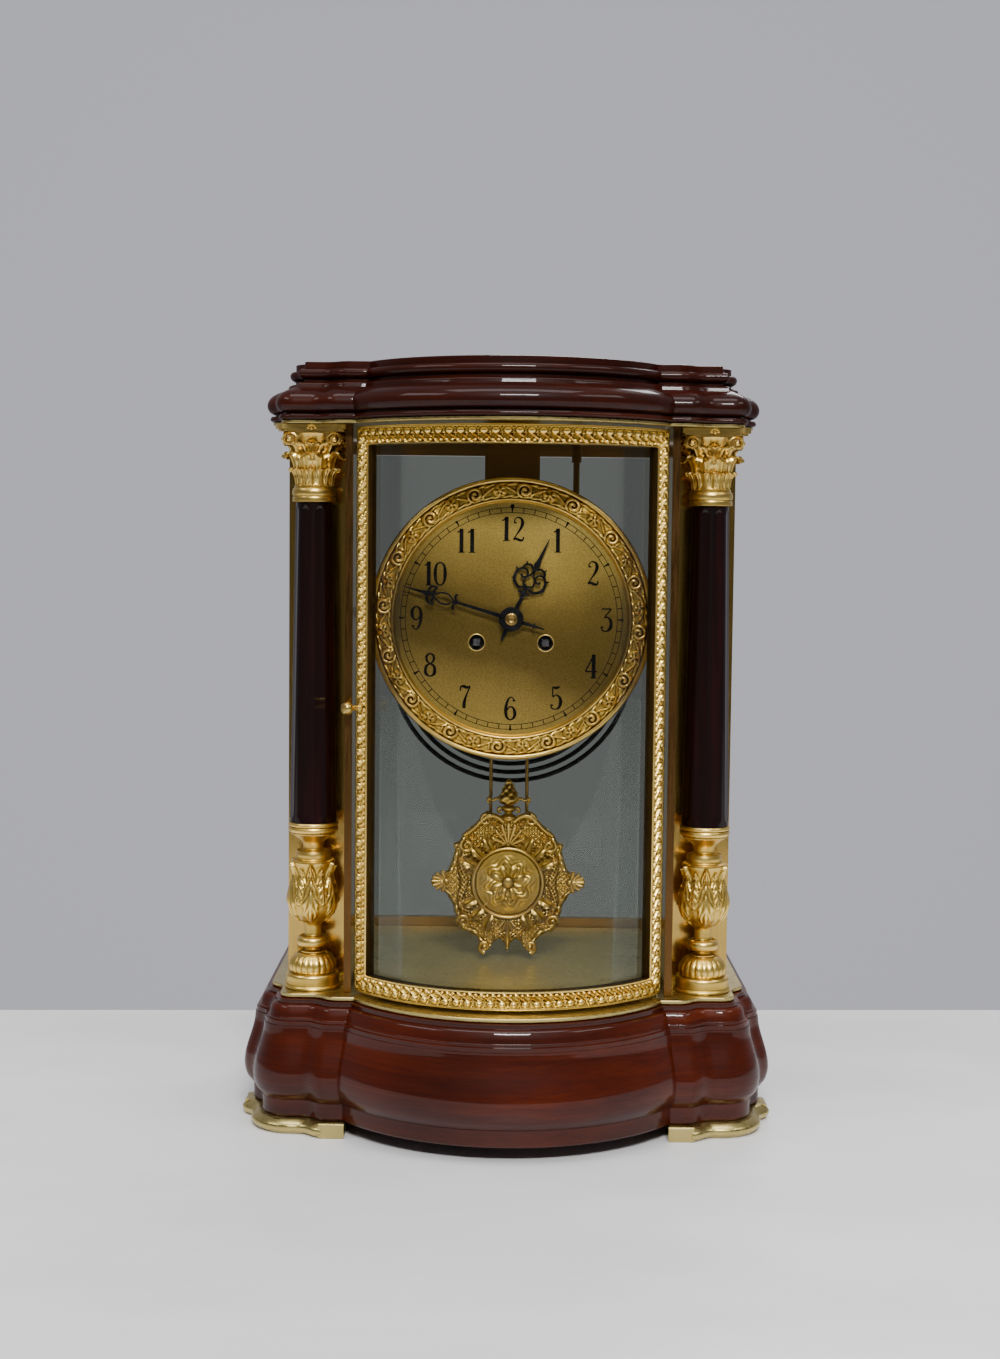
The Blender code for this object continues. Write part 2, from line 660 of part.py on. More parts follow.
def add_side(label, side):
    """Rear post, top and bottom rail and the pane between them."""
    outer = BLOCK_HALF_WIDTH
    post_front = REAR_POST_BACK - REAR_POST_DEPTH
    bm = bmesh.new()
    low = (min(side * outer, side * (outer - REAR_POST_WIDTH)), post_front, CASE_BOTTOM)
    high = (max(side * outer, side * (outer - REAR_POST_WIDTH)), REAR_POST_BACK, CASE_TOP)
    box(bm, low, high)
    add_piece(f"rear_post_{label}", bm, brass)
    start = FRONT_PLANE + COLUMN_WALL_SETBACK + COLUMN_WALL_THICKNESS + GAP
    stop = post_front - GAP
    rail_outer = outer - SIDE_GLASS_INSET + (SIDE_RAIL_WIDTH - SIDE_GLASS_THICKNESS) / 2
    xs = sorted((side * rail_outer, side * (rail_outer - SIDE_RAIL_WIDTH)))
    rails = (("bottom", CASE_BOTTOM), ("top", CASE_TOP - SIDE_RAIL_HEIGHT))
    for level, bottom in rails:
        bm = bmesh.new()
        box(bm, (xs[0], start, bottom), (xs[1], stop, bottom + SIDE_RAIL_HEIGHT))
        add_piece(f"side_rail_{label}_{level}", bm, brass)
    glass_outer = outer - SIDE_GLASS_INSET
    xs = sorted((side * glass_outer, side * (glass_outer - SIDE_GLASS_THICKNESS)))
    bottom = CASE_BOTTOM + SIDE_RAIL_HEIGHT + GAP
    top = CASE_TOP - SIDE_RAIL_HEIGHT - GAP
    bm = bmesh.new()
    box(bm, (xs[0], start, bottom), (xs[1], stop, top))
    add_piece(f"side_glass_{label}", bm, clear_glass)


def arc_frame(bm, half_angle, bottom, top, rail, front_radius, back_radius, facets):
    """A window frame bent round a vertical cylinder."""
    inner_angle = half_angle - rail / front_radius
    angles = [inner_angle * (2 * i / facets - 1) for i in range(facets + 1)]
    outer_angles = [-half_angle] + angles[1:-1] + [half_angle]
    levels = ((bottom, bottom + rail), (top, top - rail))
    outer = []
    inner = []
    for (edge, sight), order in zip(levels, (1, -1)):
        outer += [(a, edge) for a in outer_angles[::order]]
        inner += [(a, sight) for a in angles[::order]]
    rings = []
    for (oa, oz), (ia, iz) in zip(outer, inner):
        rings.append([
            door_point(oa, front_radius, oz),
            door_point(oa, back_radius, oz),
            door_point(ia, back_radius, iz),
            door_point(ia, front_radius, iz),
        ])
    loft(bm, rings, capped=False, wrapped=True)


def add_front_door():
    pivot = (*front_pivot(), DOOR_BOTTOM)
    bm = bmesh.new()
    back_radius = DOOR_RADIUS - DOOR_THICKNESS
    arc_frame(bm, DOOR_END_ANGLE, DOOR_BOTTOM, DOOR_TOP, DOOR_RAIL_WIDTH, DOOR_RADIUS, back_radius, DOOR_FACETS)
    add_piece("front_door_frame", bm, gilt, pivot)
    glass_radius = DOOR_RADIUS - DOOR_GLASS_RECESS
    glass_back = glass_radius - DOOR_GLASS_THICKNESS
    end = DOOR_END_ANGLE - (DOOR_RAIL_WIDTH + GAP) / back_radius
    angles = [end * (2 * i / DOOR_FACETS - 1) for i in range(DOOR_FACETS + 1)]
    outline = [door_point(a, glass_radius) for a in angles]
    outline += [door_point(a, glass_back) for a in reversed(angles)]
    bm = bmesh.new()
    slab(bm, outline, DOOR_BOTTOM + DOOR_RAIL_WIDTH + GAP, DOOR_TOP - DOOR_RAIL_WIDTH - GAP)
    add_piece("front_door_glass", bm, clear_glass, pivot)
    bottom_end = DOOR_BOTTOM - GAP
    top_start = DOOR_TOP + GAP
    add_post("front_door_pin_bottom", pivot[:2], bottom_end - PIVOT_LENGTH, bottom_end, PIVOT_RADIUS, 12, steel)
    add_post("front_door_pin_top", pivot[:2], top_start, top_start + PIVOT_LENGTH, PIVOT_RADIUS, 12, steel)
    add_door_knob()


def add_door_knob():
    """Turned knob on the left stile, square to the bowed face."""
    angle = -(DOOR_END_ANGLE - DOOR_RAIL_WIDTH / 2 / DOOR_RADIUS)
    start = door_point(angle, DOOR_RADIUS + GAP, KNOB_HEIGHT)
    profile = (
        (KNOB_STEM_RADIUS * 1.5, 0.0), (KNOB_STEM_RADIUS * 1.5, 0.12), (KNOB_STEM_RADIUS, 0.16),
        (KNOB_STEM_RADIUS, 0.42), (KNOB_RADIUS * 0.7, 0.5), (KNOB_RADIUS, 0.68), (KNOB_RADIUS * 0.85, 0.88),
        (KNOB_RADIUS * 0.4, 1.0),
    )
    bm = bmesh.new()
    turn_profile(bm, [(r, h * KNOB_LENGTH) for r, h in profile], 16)
    outward = Vector((math.sin(angle), -math.cos(angle), 0))
    turn = Vector((0, 0, 1)).rotation_difference(outward).to_matrix().to_4x4()
    transform(bm, Matrix.Translation(start) @ turn)
    add_piece("front_door_knob", bm, gilt, start)


def add_back_door():
    pivot = (*back_pivot(), DOOR_BOTTOM)
    half = BACK_DOOR_HALF_WIDTH
    rail = BACK_DOOR_RAIL_WIDTH
    stand = facing(0, BACK_DOOR_BACK, 0)
    bm = bmesh.new()
    outer = rectangle(half, DOOR_BOTTOM, DOOR_TOP)
    inner = rectangle(half - rail, DOOR_BOTTOM + rail, DOOR_TOP - rail)
    ring_solid(bm, outer, inner, 0, BACK_DOOR_THICKNESS)
    transform(bm, stand)
    add_piece("back_door_frame", bm, brass, pivot)
    bm = bmesh.new()
    pane = rectangle(half - rail - GAP, DOOR_BOTTOM + rail + GAP, DOOR_TOP - rail - GAP)
    inset = (BACK_DOOR_THICKNESS - BACK_GLASS_THICKNESS) / 2
    slab(bm, pane, inset, inset + BACK_GLASS_THICKNESS)
    transform(bm, stand)
    add_piece("back_door_glass", bm, clear_glass, pivot)
    bottom_end = DOOR_BOTTOM - GAP
    top_start = DOOR_TOP + GAP
    add_post("back_door_pin_bottom", pivot[:2], bottom_end - PIVOT_LENGTH, bottom_end, PIVOT_RADIUS, 12, steel)
    add_post("back_door_pin_top", pivot[:2], top_start, top_start + PIVOT_LENGTH, PIVOT_RADIUS, 12, steel)
    x = -(half - rail / 2)
    bm = bmesh.new()
    profile = ((KNOB_RADIUS, 0.0), (KNOB_RADIUS * 0.5, 0.2), (KNOB_RADIUS * 0.5, 0.5), (KNOB_RADIUS, 0.8), (KNOB_RADIUS * 0.6, 1.0))
    turn_profile(bm, [(r, h * KNOB_LENGTH * 0.8) for r, h in profile], 16)
    place = Matrix.Translation((x, BACK_DOOR_BACK + GAP, KNOB_HEIGHT))
    transform(bm, place @ Matrix.Rotation(math.radians(-90), 4, "X"))
    add_piece("back_door_knob", bm, brass, (x, BACK_DOOR_BACK + GAP, KNOB_HEIGHT))


def add_dial():
    bm = bmesh.new()
    slab(bm, circle(DIAL_RADIUS, BEZEL_FACETS), 0, DIAL_THICKNESS)
    back = DIAL_FRONT + DIAL_THICKNESS
    transform(bm, facing(0, back, DIAL_HEIGHT))
    dial = add_piece("dial", bm, brass)
    holes = [
        ("centre", 0, 0, CENTRE_HOLE_RADIUS),
        ("going", WINDING_HOLE_SPREAD, -WINDING_HOLE_DROP, WINDING_HOLE_RADIUS),
        ("strike", -WINDING_HOLE_SPREAD, -WINDING_HOLE_DROP, WINDING_HOLE_RADIUS),
    ]
    for label, x, z, radius in holes:
        bm = bmesh.new()
        slab(bm, circle(radius, 16), -OVERRUN, DIAL_THICKNESS + OVERRUN)
        transform(bm, facing(x, back, DIAL_HEIGHT + z))
        combine(dial, add_piece(f"dial_{label}_drill", bm, steel), "DIFFERENCE")


def add_bezel():
    """Gilt ring round the dial, joined to the movement by its own flange behind the dial."""
    width = BEZEL_OUTER_RADIUS - BEZEL_INNER_RADIUS
    seat = DIAL_RADIUS + GAP
    flange = DIAL_THICKNESS + GAP
    section = [
        (BEZEL_INNER_RADIUS, GAP),
        (BEZEL_INNER_RADIUS, BEZEL_RELIEF * 0.45),
        (BEZEL_INNER_RADIUS + width * 0.15, BEZEL_RELIEF * 0.6),
        (BEZEL_INNER_RADIUS + width * 0.3, BEZEL_RELIEF),
        (BEZEL_INNER_RADIUS + width * 0.62, BEZEL_RELIEF * 0.9),
        (BEZEL_INNER_RADIUS + width * 0.8, BEZEL_RELIEF * 0.45),
        (BEZEL_OUTER_RADIUS - width * 0.06, BEZEL_RELIEF * 0.4),
        (BEZEL_OUTER_RADIUS, BEZEL_RELIEF * 0.1),
        (BEZEL_OUTER_RADIUS, -flange),
        (seat, -flange),
        (seat, GAP),
    ]
    rings = []
    for x, y in circle(1, BEZEL_FACETS):
        rings.append([(r * x, r * y, z) for r, z in section])
    bm = bmesh.new()
    loft(bm, rings, capped=False, wrapped=True)
    transform(bm, facing(0, DIAL_FRONT, DIAL_HEIGHT))
    add_piece("bezel", bm, gilt)


def movement_holes():
    """Every arbor that passes through a plate: label, place from the dial's centre, radius."""
    drop = -WINDING_HOLE_DROP
    return [
        ("centre", 0, 0, ARBOR_RADIUS),
        ("going", WINDING_HOLE_SPREAD, drop, WINDING_ARBOR_RADIUS),
        ("strike", -WINDING_HOLE_SPREAD, drop, WINDING_ARBOR_RADIUS),
        ("escape", 0, ESCAPE_ARBOR_RISE, ARBOR_RADIUS),
        ("anchor", 0, SUSPENSION_HEIGHT - DIAL_HEIGHT, ARBOR_RADIUS),
    ]


def add_movement_plate(name, front, pillars):
    """A round plate, drilled for the arbors. The front one carries the four pillars."""
    back = front + MOVEMENT_PLATE_THICKNESS
    bm = bmesh.new()
    slab(bm, circle(MOVEMENT_PLATE_RADIUS, 36), 0, MOVEMENT_PLATE_THICKNESS)
    transform(bm, facing(0, back, DIAL_HEIGHT))
    plate = add_piece(name, bm, brass)
    for label, x, z, radius in movement_holes():
        bm = bmesh.new()
        slab(bm, circle(radius + RUNNING_CLEARANCE, 16), -OVERRUN, MOVEMENT_PLATE_THICKNESS + OVERRUN)
        transform(bm, facing(x, back, DIAL_HEIGHT + z))
        combine(plate, add_piece(f"{name}_{label}_drill", bm, steel), "DIFFERENCE")
    if not pillars:
        return
    length = MOVEMENT_DEPTH - 2 * MOVEMENT_PLATE_THICKNESS - GAP
    dial_gap = front - (DIAL_FRONT + DIAL_THICKNESS) - GAP
    for i, angle in enumerate(PILLAR_ANGLES):
        x = PILLAR_CIRCLE_RADIUS * math.cos(angle)
        z = PILLAR_CIRCLE_RADIUS * math.sin(angle)
        bm = bmesh.new()
        overlap = MOVEMENT_PLATE_THICKNESS / 2
        slab(bm, circle(PILLAR_RADIUS, 12), -length, overlap)
        transform(bm, facing(x, back, DIAL_HEIGHT + z))
        combine(plate, add_piece(f"{name}_pillar_{i}", bm, brass), "UNION")
        bm = bmesh.new()
        slab(bm, circle(DIAL_FOOT_RADIUS, 12), -overlap, dial_gap)
        transform(bm, facing(x, front, DIAL_HEIGHT + z))
        combine(plate, add_piece(f"{name}_dial_foot_{i}", bm, brass), "UNION")


def add_bracket():
    """Angle bracket that hangs the movement from the top plate."""
    front = MOVEMENT_BACK - MOVEMENT_PLATE_THICKNESS - GAP - BRACKET_THICKNESS
    plate_top = DIAL_HEIGHT + MOVEMENT_PLATE_RADIUS
    low = plate_top - BRACKET_OVERLAP
    outline = [
        (front, low),
        (front + BRACKET_THICKNESS, low),
        (front + BRACKET_THICKNESS, CASE_TOP),
        (front + BRACKET_THICKNESS - BRACKET_FOOT_DEPTH, CASE_TOP),
        (front + BRACKET_THICKNESS - BRACKET_FOOT_DEPTH, CASE_TOP - BRACKET_THICKNESS),
        (front, CASE_TOP - BRACKET_THICKNESS),
    ]
    half = BRACKET_WIDTH / 2
    bm = bmesh.new()
    loft(bm, [[(x, y, z) for y, z in outline] for x in (-half, half)])
    add_piece("movement_bracket", bm, brass)


def gear_outline(teeth, module, phase=0.0):
    """Spur gear outline with straight-sided teeth."""
    pitch = module * teeth / 2
    tip = pitch + module * TOOTH_ADDENDUM_SHARE
    root = pitch - module
    flanks = ((-TOOTH_ROOT_SHARE, root), (-TOOTH_TIP_SHARE, tip), (TOOTH_TIP_SHARE, tip), (TOOTH_ROOT_SHARE, root))
    outline = []
    for i in range(teeth):
        for share, radius in flanks:
            angle = math.tau * (i + share + phase) / teeth
            outline.append((radius * math.cos(angle), radius * math.sin(angle)))
    return outline


def add_barrel(name, side):
    """Spring barrel: toothed great wheel with the drum behind it, bored for its winding arbor."""
    x = side * WINDING_HOLE_SPREAD
    z = DIAL_HEIGHT - WINDING_HOLE_DROP
    start = MOVEMENT_FRONT + MOVEMENT_PLATE_THICKNESS + (3 - side) * WHEEL_THICKNESS
    phase = barrel_phase(side)
    bm = bmesh.new()
    slab(bm, gear_outline(BARREL_TEETH, TOOTH_MODULE, phase), -WHEEL_THICKNESS, 0)
    transform(bm, facing(x, start, z))
    barrel = add_piece(name, bm, brass, (x, start, z))
    bm = bmesh.new()
    slab(bm, circle(BARREL_RADIUS, 28), -WHEEL_THICKNESS - BARREL_DEPTH, -WHEEL_THICKNESS / 2)
    transform(bm, facing(x, start, z))
    combine(barrel, add_piece(f"{name}_drum", bm, brass), "UNION")
    bm = bmesh.new()
    hole = WINDING_ARBOR_RADIUS + RUNNING_CLEARANCE
    slab(bm, circle(hole, 16), -WHEEL_THICKNESS - BARREL_DEPTH - OVERRUN, OVERRUN)
    transform(bm, facing(x, start, z))
    combine(barrel, add_piece(f"{name}_bore", bm, steel), "DIFFERENCE")


def barrel_phase(side):
    """Turn the barrel so that a tooth gap faces the centre pinion's tooth."""
    angle = math.atan2(WINDING_HOLE_DROP, -side * WINDING_HOLE_SPREAD)
    return angle / math.tau * BARREL_TEETH + 0.5


def add_winding_arbor(name, side):
    x = side * WINDING_HOLE_SPREAD
    z = DIAL_HEIGHT - WINDING_HOLE_DROP
    back = MOVEMENT_BACK - OVERRUN / 4
    length = back - DIAL_FRONT
    square = WINDING_SQUARE_SIDE / math.sqrt(2)
    round_length = back - (MOVEMENT_FRONT - OVERRUN)
    bm = bmesh.new()
    slab(bm, circle(WINDING_ARBOR_RADIUS, 16), 0, round_length)
    transform(bm, facing(x, back, z))
    arbor = add_piece(name, bm, steel, (x, DIAL_FRONT, z))
    bm = bmesh.new()
    slab(bm, circle(square, 4, math.radians(45)), round_length - OVERRUN, length)
    transform(bm, facing(x, back, z))
    combine(arbor, add_piece(f"{name}_square", bm, steel), "UNION")


def add_centre_arbor():
    """Centre arbor with its pinion, its wheel and the cannon that carries the minute hand."""
    start = MOVEMENT_FRONT + MOVEMENT_PLATE_THICKNESS + WHEEL_THICKNESS - GAP
    pivot = (0, DIAL_FRONT, DIAL_HEIGHT)
    front = hand_plane(2) - HAND_THICKNESS - GAP
    back = MOVEMENT_BACK - OVERRUN / 4
    bm = bmesh.new()
    slab(bm, circle(ARBOR_RADIUS, 16), 0, back - front)
    transform(bm, facing(0, back, DIAL_HEIGHT))
    arbor = add_piece("centre_arbor", bm, steel, pivot)
    parts = (
        ("pinion", gear_outline(CENTRE_PINION_TEETH, TOOTH_MODULE, centre_phase()), start, 2 * WHEEL_THICKNESS),
        ("wheel", circle(CENTRE_WHEEL_RADIUS, 28), MOVEMENT_BACK - 4 * WHEEL_THICKNESS, WHEEL_THICKNESS),
        ("cannon", gear_outline(CANNON_TEETH, MOTION_MODULE), MOVEMENT_FRONT - 2 * WHEEL_THICKNESS - GAP, WHEEL_THICKNESS),
    )
    for label, outline, place, depth in parts:
        bm = bmesh.new()
        slab(bm, outline, -depth, 0)
        transform(bm, facing(0, place, DIAL_HEIGHT))
        combine(arbor, add_piece(f"centre_arbor_{label}", bm, brass), "UNION")


def centre_phase():
    angle = math.atan2(-WINDING_HOLE_DROP, WINDING_HOLE_SPREAD)
    return angle / math.tau * CENTRE_PINION_TEETH


def add_escape_wheel():
    z = DIAL_HEIGHT + ESCAPE_ARBOR_RISE
    place = MOVEMENT_BACK - MOVEMENT_PLATE_THICKNESS - 4 * WHEEL_THICKNESS
    outline = []
    for i in range(ESCAPE_TEETH):
        for share, radius_share in ((0.0, 0.82), (0.55, 0.86), (0.9, 1.0)):
            angle = math.tau * (i + share) / ESCAPE_TEETH
            reach = ESCAPE_WHEEL_RADIUS * radius_share
            outline.append((reach * math.cos(angle), reach * math.sin(angle)))
    bm = bmesh.new()
    slab(bm, outline, 0, WHEEL_THICKNESS)
    transform(bm, facing(0, place, z))
    wheel = add_piece("escape_wheel", bm, brass, (0, place, z))
    front = MOVEMENT_FRONT + OVERRUN / 4
    bm = bmesh.new()
    slab(bm, circle(ARBOR_RADIUS, 12), 0, MOVEMENT_BACK - OVERRUN / 4 - front)
    transform(bm, facing(0, MOVEMENT_BACK - OVERRUN / 4, z))
    combine(wheel, add_piece("escape_arbor", bm, steel), "UNION")


def add_anchor():
    """Recoil anchor over the escape wheel, its arbor, and the crutch that reaches into the pendulum."""
    layer = MOVEMENT_BACK - MOVEMENT_PLATE_THICKNESS - 4 * WHEEL_THICKNESS
    drop = SUSPENSION_HEIGHT - DIAL_HEIGHT - ESCAPE_ARBOR_RISE
    clear = ESCAPE_WHEEL_RADIUS + PALLET_CLEARANCE
    spread = math.radians(PALLET_SPREAD)
    tip = (clear * math.sin(spread), clear * math.cos(spread) - drop)
    thick = PALLET_THICKNESS
    right = [(0, thick), (tip[0] + thick, tip[1] + thick), (tip[0] + thick, tip[1] - thick), (tip[0], tip[1])]
    outline = right + [(0, -ARBOR_RADIUS * 0.9)] + [(-x, z) for x, z in reversed(right[1:])]
    pivot = (0, layer, SUSPENSION_HEIGHT)
    bm = bmesh.new()
    slab(bm, outline, 0, WHEEL_THICKNESS)
    transform(bm, facing(*pivot))
    anchor = add_piece("anchor", bm, steel, pivot)
    crutch_back = MOVEMENT_BACK + CRUTCH_STANDOFF + CRUTCH_WIDTH / 2
    front = MOVEMENT_FRONT + OVERRUN / 4
    bm = bmesh.new()
    slab(bm, circle(ARBOR_RADIUS, 12), 0, crutch_back + GAP - front)
    transform(bm, facing(0, crutch_back + GAP, SUSPENSION_HEIGHT))
    combine(anchor, add_piece("anchor_arbor", bm, steel), "UNION")
    foot = SUSPENSION_HEIGHT - CRUTCH_LENGTH
    half = CRUTCH_WIDTH / 2
    bm = bmesh.new()
    box(bm, (-half, crutch_back - half, foot), (half, crutch_back, SUSPENSION_HEIGHT))
    combine(anchor, add_piece("anchor_crutch", bm, steel), "UNION")
    bm = bmesh.new()
    pin = half * CRUTCH_PIN_SHARE
    low = (-pin, crutch_back - pin, foot - pin)
    box(bm, low, (pin, PENDULUM_Y + PENDULUM_FRAME_THICKNESS, foot + pin))
    combine(anchor, add_piece("anchor_crutch_pin", bm, steel), "UNION")


def hand_plane(level):
    """Back of each layer in front of the dial: 0 hour pipe, 1 hour hand, 2 minute hand."""
    return DIAL_FRONT - HAND_THICKNESS * 0.5 - level * (HAND_THICKNESS + 3 * GAP)


def add_hand(name, angle, length, tail, leaf_width, leaf_from, leaf_to, level):
    """A flat hand: hub ring, tapering stem, one swelling and a tail."""
    stem = HAND_STEM_WIDTH / 2
    leaf = leaf_width / 2
    span = leaf_to - leaf_from
    right = [
        (stem * 0.5, -tail), (stem, -tail * 0.6), (stem, -HAND_HUB_RADIUS * 0.95),
        (HAND_HUB_RADIUS * 0.75, -HAND_HUB_RADIUS * 0.66), (HAND_HUB_RADIUS, 0),
        (HAND_HUB_RADIUS * 0.75, HAND_HUB_RADIUS * 0.66), (stem, HAND_HUB_RADIUS * 0.95),
        (stem, leaf_from), (leaf * 0.7, leaf_from + span * 0.15), (leaf, leaf_from + span * 0.35),
        (leaf * 0.6, leaf_from + span * 0.6), (stem, leaf_to), (stem * 0.25, length),
    ]
    outline = right + [(-x, y) for x, y in reversed(right)]
    c, s = math.cos(-angle), math.sin(-angle)
    turned = [(c * x - s * y, s * x + c * y) for x, y in outline]
    plane = hand_plane(level)
    pivot = (0, plane, DIAL_HEIGHT)
    bm = bmesh.new()
    slab(bm, turned, 0, HAND_THICKNESS)
    transform(bm, facing(*pivot))
    hand = add_piece(name, bm, blued, pivot)
    bore = (ARBOR_RADIUS if level > 1 else hour_pipe_radius()) + GAP
    bm = bmesh.new()
    slab(bm, circle(bore, 16), -OVERRUN, HAND_THICKNESS + OVERRUN)
    transform(bm, facing(*pivot))
    combine(hand, add_piece(f"{name}_bore", bm, steel), "DIFFERENCE")


def hour_pipe_radius():
    return ARBOR_RADIUS + RUNNING_CLEARANCE + ARBOR_RADIUS / 2


def minute_wheel_place():
    distance = MOTION_MODULE * (CANNON_TEETH + MINUTE_WHEEL_TEETH) / 2
    return (-distance, 0)


def add_motion_work():
    """Hour wheel on its pipe round the centre arbor, and the minute wheel that drives it."""
    pinion_module = MOTION_MODULE * (CANNON_TEETH + MINUTE_WHEEL_TEETH) / (MINUTE_PINION_TEETH + HOUR_WHEEL_TEETH)
    back_layer = MOVEMENT_FRONT - 2 * WHEEL_THICKNESS
    front_layer = back_layer - WHEEL_THICKNESS - 2 * GAP
    front = hand_plane(1) - HAND_THICKNESS - GAP
    x, _ = minute_wheel_place()
    bm = bmesh.new()
    slab(bm, gear_outline(HOUR_WHEEL_TEETH, pinion_module, 0.5), 0, WHEEL_THICKNESS)
    transform(bm, facing(0, front_layer, DIAL_HEIGHT))
    wheel = add_piece("hour_wheel", bm, brass, (0, DIAL_FRONT, DIAL_HEIGHT))
    bm = bmesh.new()
    slab(bm, circle(hour_pipe_radius(), 16), 0, front_layer - front)
    transform(bm, facing(0, front_layer, DIAL_HEIGHT))
    combine(wheel, add_piece("hour_pipe", bm, brass), "UNION")
    bm = bmesh.new()
    slab(bm, circle(ARBOR_RADIUS + RUNNING_CLEARANCE, 16), -OVERRUN, front_layer - front + OVERRUN)
    transform(bm, facing(0, front_layer, DIAL_HEIGHT))
    combine(wheel, add_piece("hour_pipe_bore", bm, steel), "DIFFERENCE")
    pivot = (x, back_layer, DIAL_HEIGHT)
    bm = bmesh.new()
    slab(bm, gear_outline(MINUTE_WHEEL_TEETH, MOTION_MODULE, 0.5), 0, WHEEL_THICKNESS)
    transform(bm, facing(*pivot))
    minute = add_piece("minute_wheel", bm, brass, pivot)
    bm = bmesh.new()
    slab(bm, gear_outline(MINUTE_PINION_TEETH, pinion_module), WHEEL_THICKNESS / 2, 2 * WHEEL_THICKNESS + 3 * GAP)
    transform(bm, facing(*pivot))
    combine(minute, add_piece("minute_pinion", bm, brass), "UNION")
    bm = bmesh.new()
    slab(bm, circle(ARBOR_RADIUS / 2, 12), GAP - 2 * WHEEL_THICKNESS, WHEEL_THICKNESS)
    transform(bm, facing(*pivot))
    combine(minute, add_piece("minute_stud", bm, steel), "UNION")


def add_back_cock():
    """Bridge on the back plate that holds the suspension."""
    reach = PENDULUM_Y - MOVEMENT_BACK
    half = SUSPENSION_WIDTH
    thickness = MOVEMENT_PLATE_THICKNESS
    low = SUSPENSION_HEIGHT + SUSPENSION_HEAD + GAP
    outline = [
        (MOVEMENT_BACK + GAP, low),
        (MOVEMENT_BACK + reach + thickness, low),
        (MOVEMENT_BACK + reach + thickness, low + thickness),
        (MOVEMENT_BACK + GAP + thickness, low + thickness),
        (MOVEMENT_BACK + GAP + thickness, DIAL_HEIGHT + MOVEMENT_PLATE_RADIUS - thickness),
        (MOVEMENT_BACK + GAP, DIAL_HEIGHT + MOVEMENT_PLATE_RADIUS - thickness),
    ]
    bm = bmesh.new()
    loft(bm, [[(x, y, z) for y, z in outline] for x in (-half, half)])
    add_piece("back_cock", bm, brass)


def add_pendulum():
    pivot = (0, PENDULUM_Y, SUSPENSION_HEIGHT)
    half = SUSPENSION_THICKNESS / 2
    bm = bmesh.new()
    low = (-SUSPENSION_WIDTH / 2, PENDULUM_Y - half, SUSPENSION_HEIGHT - SUSPENSION_LENGTH)
    box(bm, low, (SUSPENSION_WIDTH / 2, PENDULUM_Y + half, SUSPENSION_HEIGHT + SUSPENSION_HEAD))
    add_piece("suspension_spring", bm, steel, pivot)
    outer_half = (PENDULUM_ROD_SPREAD + PENDULUM_ROD_WIDTH) / 2
    inner_half = outer_half - PENDULUM_ROD_WIDTH
    top = SUSPENSION_HEIGHT - SUSPENSION_LENGTH - GAP
    outer = rectangle(outer_half, PENDULUM_FRAME_FOOT_HEIGHT, top)
    inner = rectangle(inner_half, PENDULUM_FRAME_FOOT_HEIGHT + PENDULUM_ROD_WIDTH, top - PENDULUM_ROD_WIDTH)
    bm = bmesh.new()
    ring_solid(bm, outer, inner, -PENDULUM_FRAME_THICKNESS / 2, PENDULUM_FRAME_THICKNESS / 2)
    transform(bm, facing(0, PENDULUM_Y, 0))
    add_piece("pendulum_frame", bm, brass, pivot)
    add_bob(pivot)


def add_bob(pivot):
    """Cast bob: a scalloped outline with rounded edges and a raised medallion."""
    half = [(BOB_HALF_WIDTH * x, BOB_HALF_WIDTH * z) for x, z in BOB_OUTLINE_SHARES]
    outline = half + [(-x, z) for x, z in reversed(half[1:-1])]
    back = PENDULUM_Y - PENDULUM_FRAME_THICKNESS / 2 - GAP
    levels = ((0.97, 0.0), (1.0, 0.25), (1.0, 0.55), (0.94, 0.85), (0.86, 1.0))
    rings = [[(s * x, s * z, h * BOB_THICKNESS) for x, z in outline] for s, h in levels]
    bm = bmesh.new()
    loft(bm, rings)
    transform(bm, facing(0, back, BOB_CENTRE_HEIGHT))
    bob = add_piece("pendulum_bob", bm, gilt, pivot)
    bm = bmesh.new()
    profile = (
        (MEDALLION_RADIUS, BOB_THICKNESS / 2), (MEDALLION_RADIUS, BOB_THICKNESS + MEDALLION_RELIEF),
        (MEDALLION_RADIUS * 0.9, BOB_THICKNESS + MEDALLION_RELIEF), (MEDALLION_RADIUS * 0.86, BOB_THICKNESS + MEDALLION_RELIEF / 2),
    )
    turn_profile(bm, profile, 32)
    transform(bm, facing(0, back, BOB_CENTRE_HEIGHT))
    combine(bob, add_piece("pendulum_medallion", bm, gilt), "UNION")


def gong_points():
    """Spiral of the gong from its fixed outer end inwards, as (x, z) about its centre."""
    start = math.asin(GONG_POST_SIDE / GONG_RADIUS)
    count = GONG_TURNS * GONG_POINTS_PER_TURN
    points = []
    for i in range(count + 1):
        share = i / count
        radius = GONG_RADIUS + (GONG_INNER_RADIUS - GONG_RADIUS) * share
        angle = start + math.tau * GONG_TURNS * share
        points.append((radius * math.sin(angle), radius * math.cos(angle)))
    return points


def least_turn_gap(points):
    """Smallest space between neighbouring turns of the gong's wire."""
    far = GONG_POINTS_PER_TURN // 2
    gaps = []
    for i, first in enumerate(points):
        for second in points[i + far:]:
            gaps.append(math.dist(first, second) - 2 * GONG_WIRE_RADIUS)
    return min(gaps)


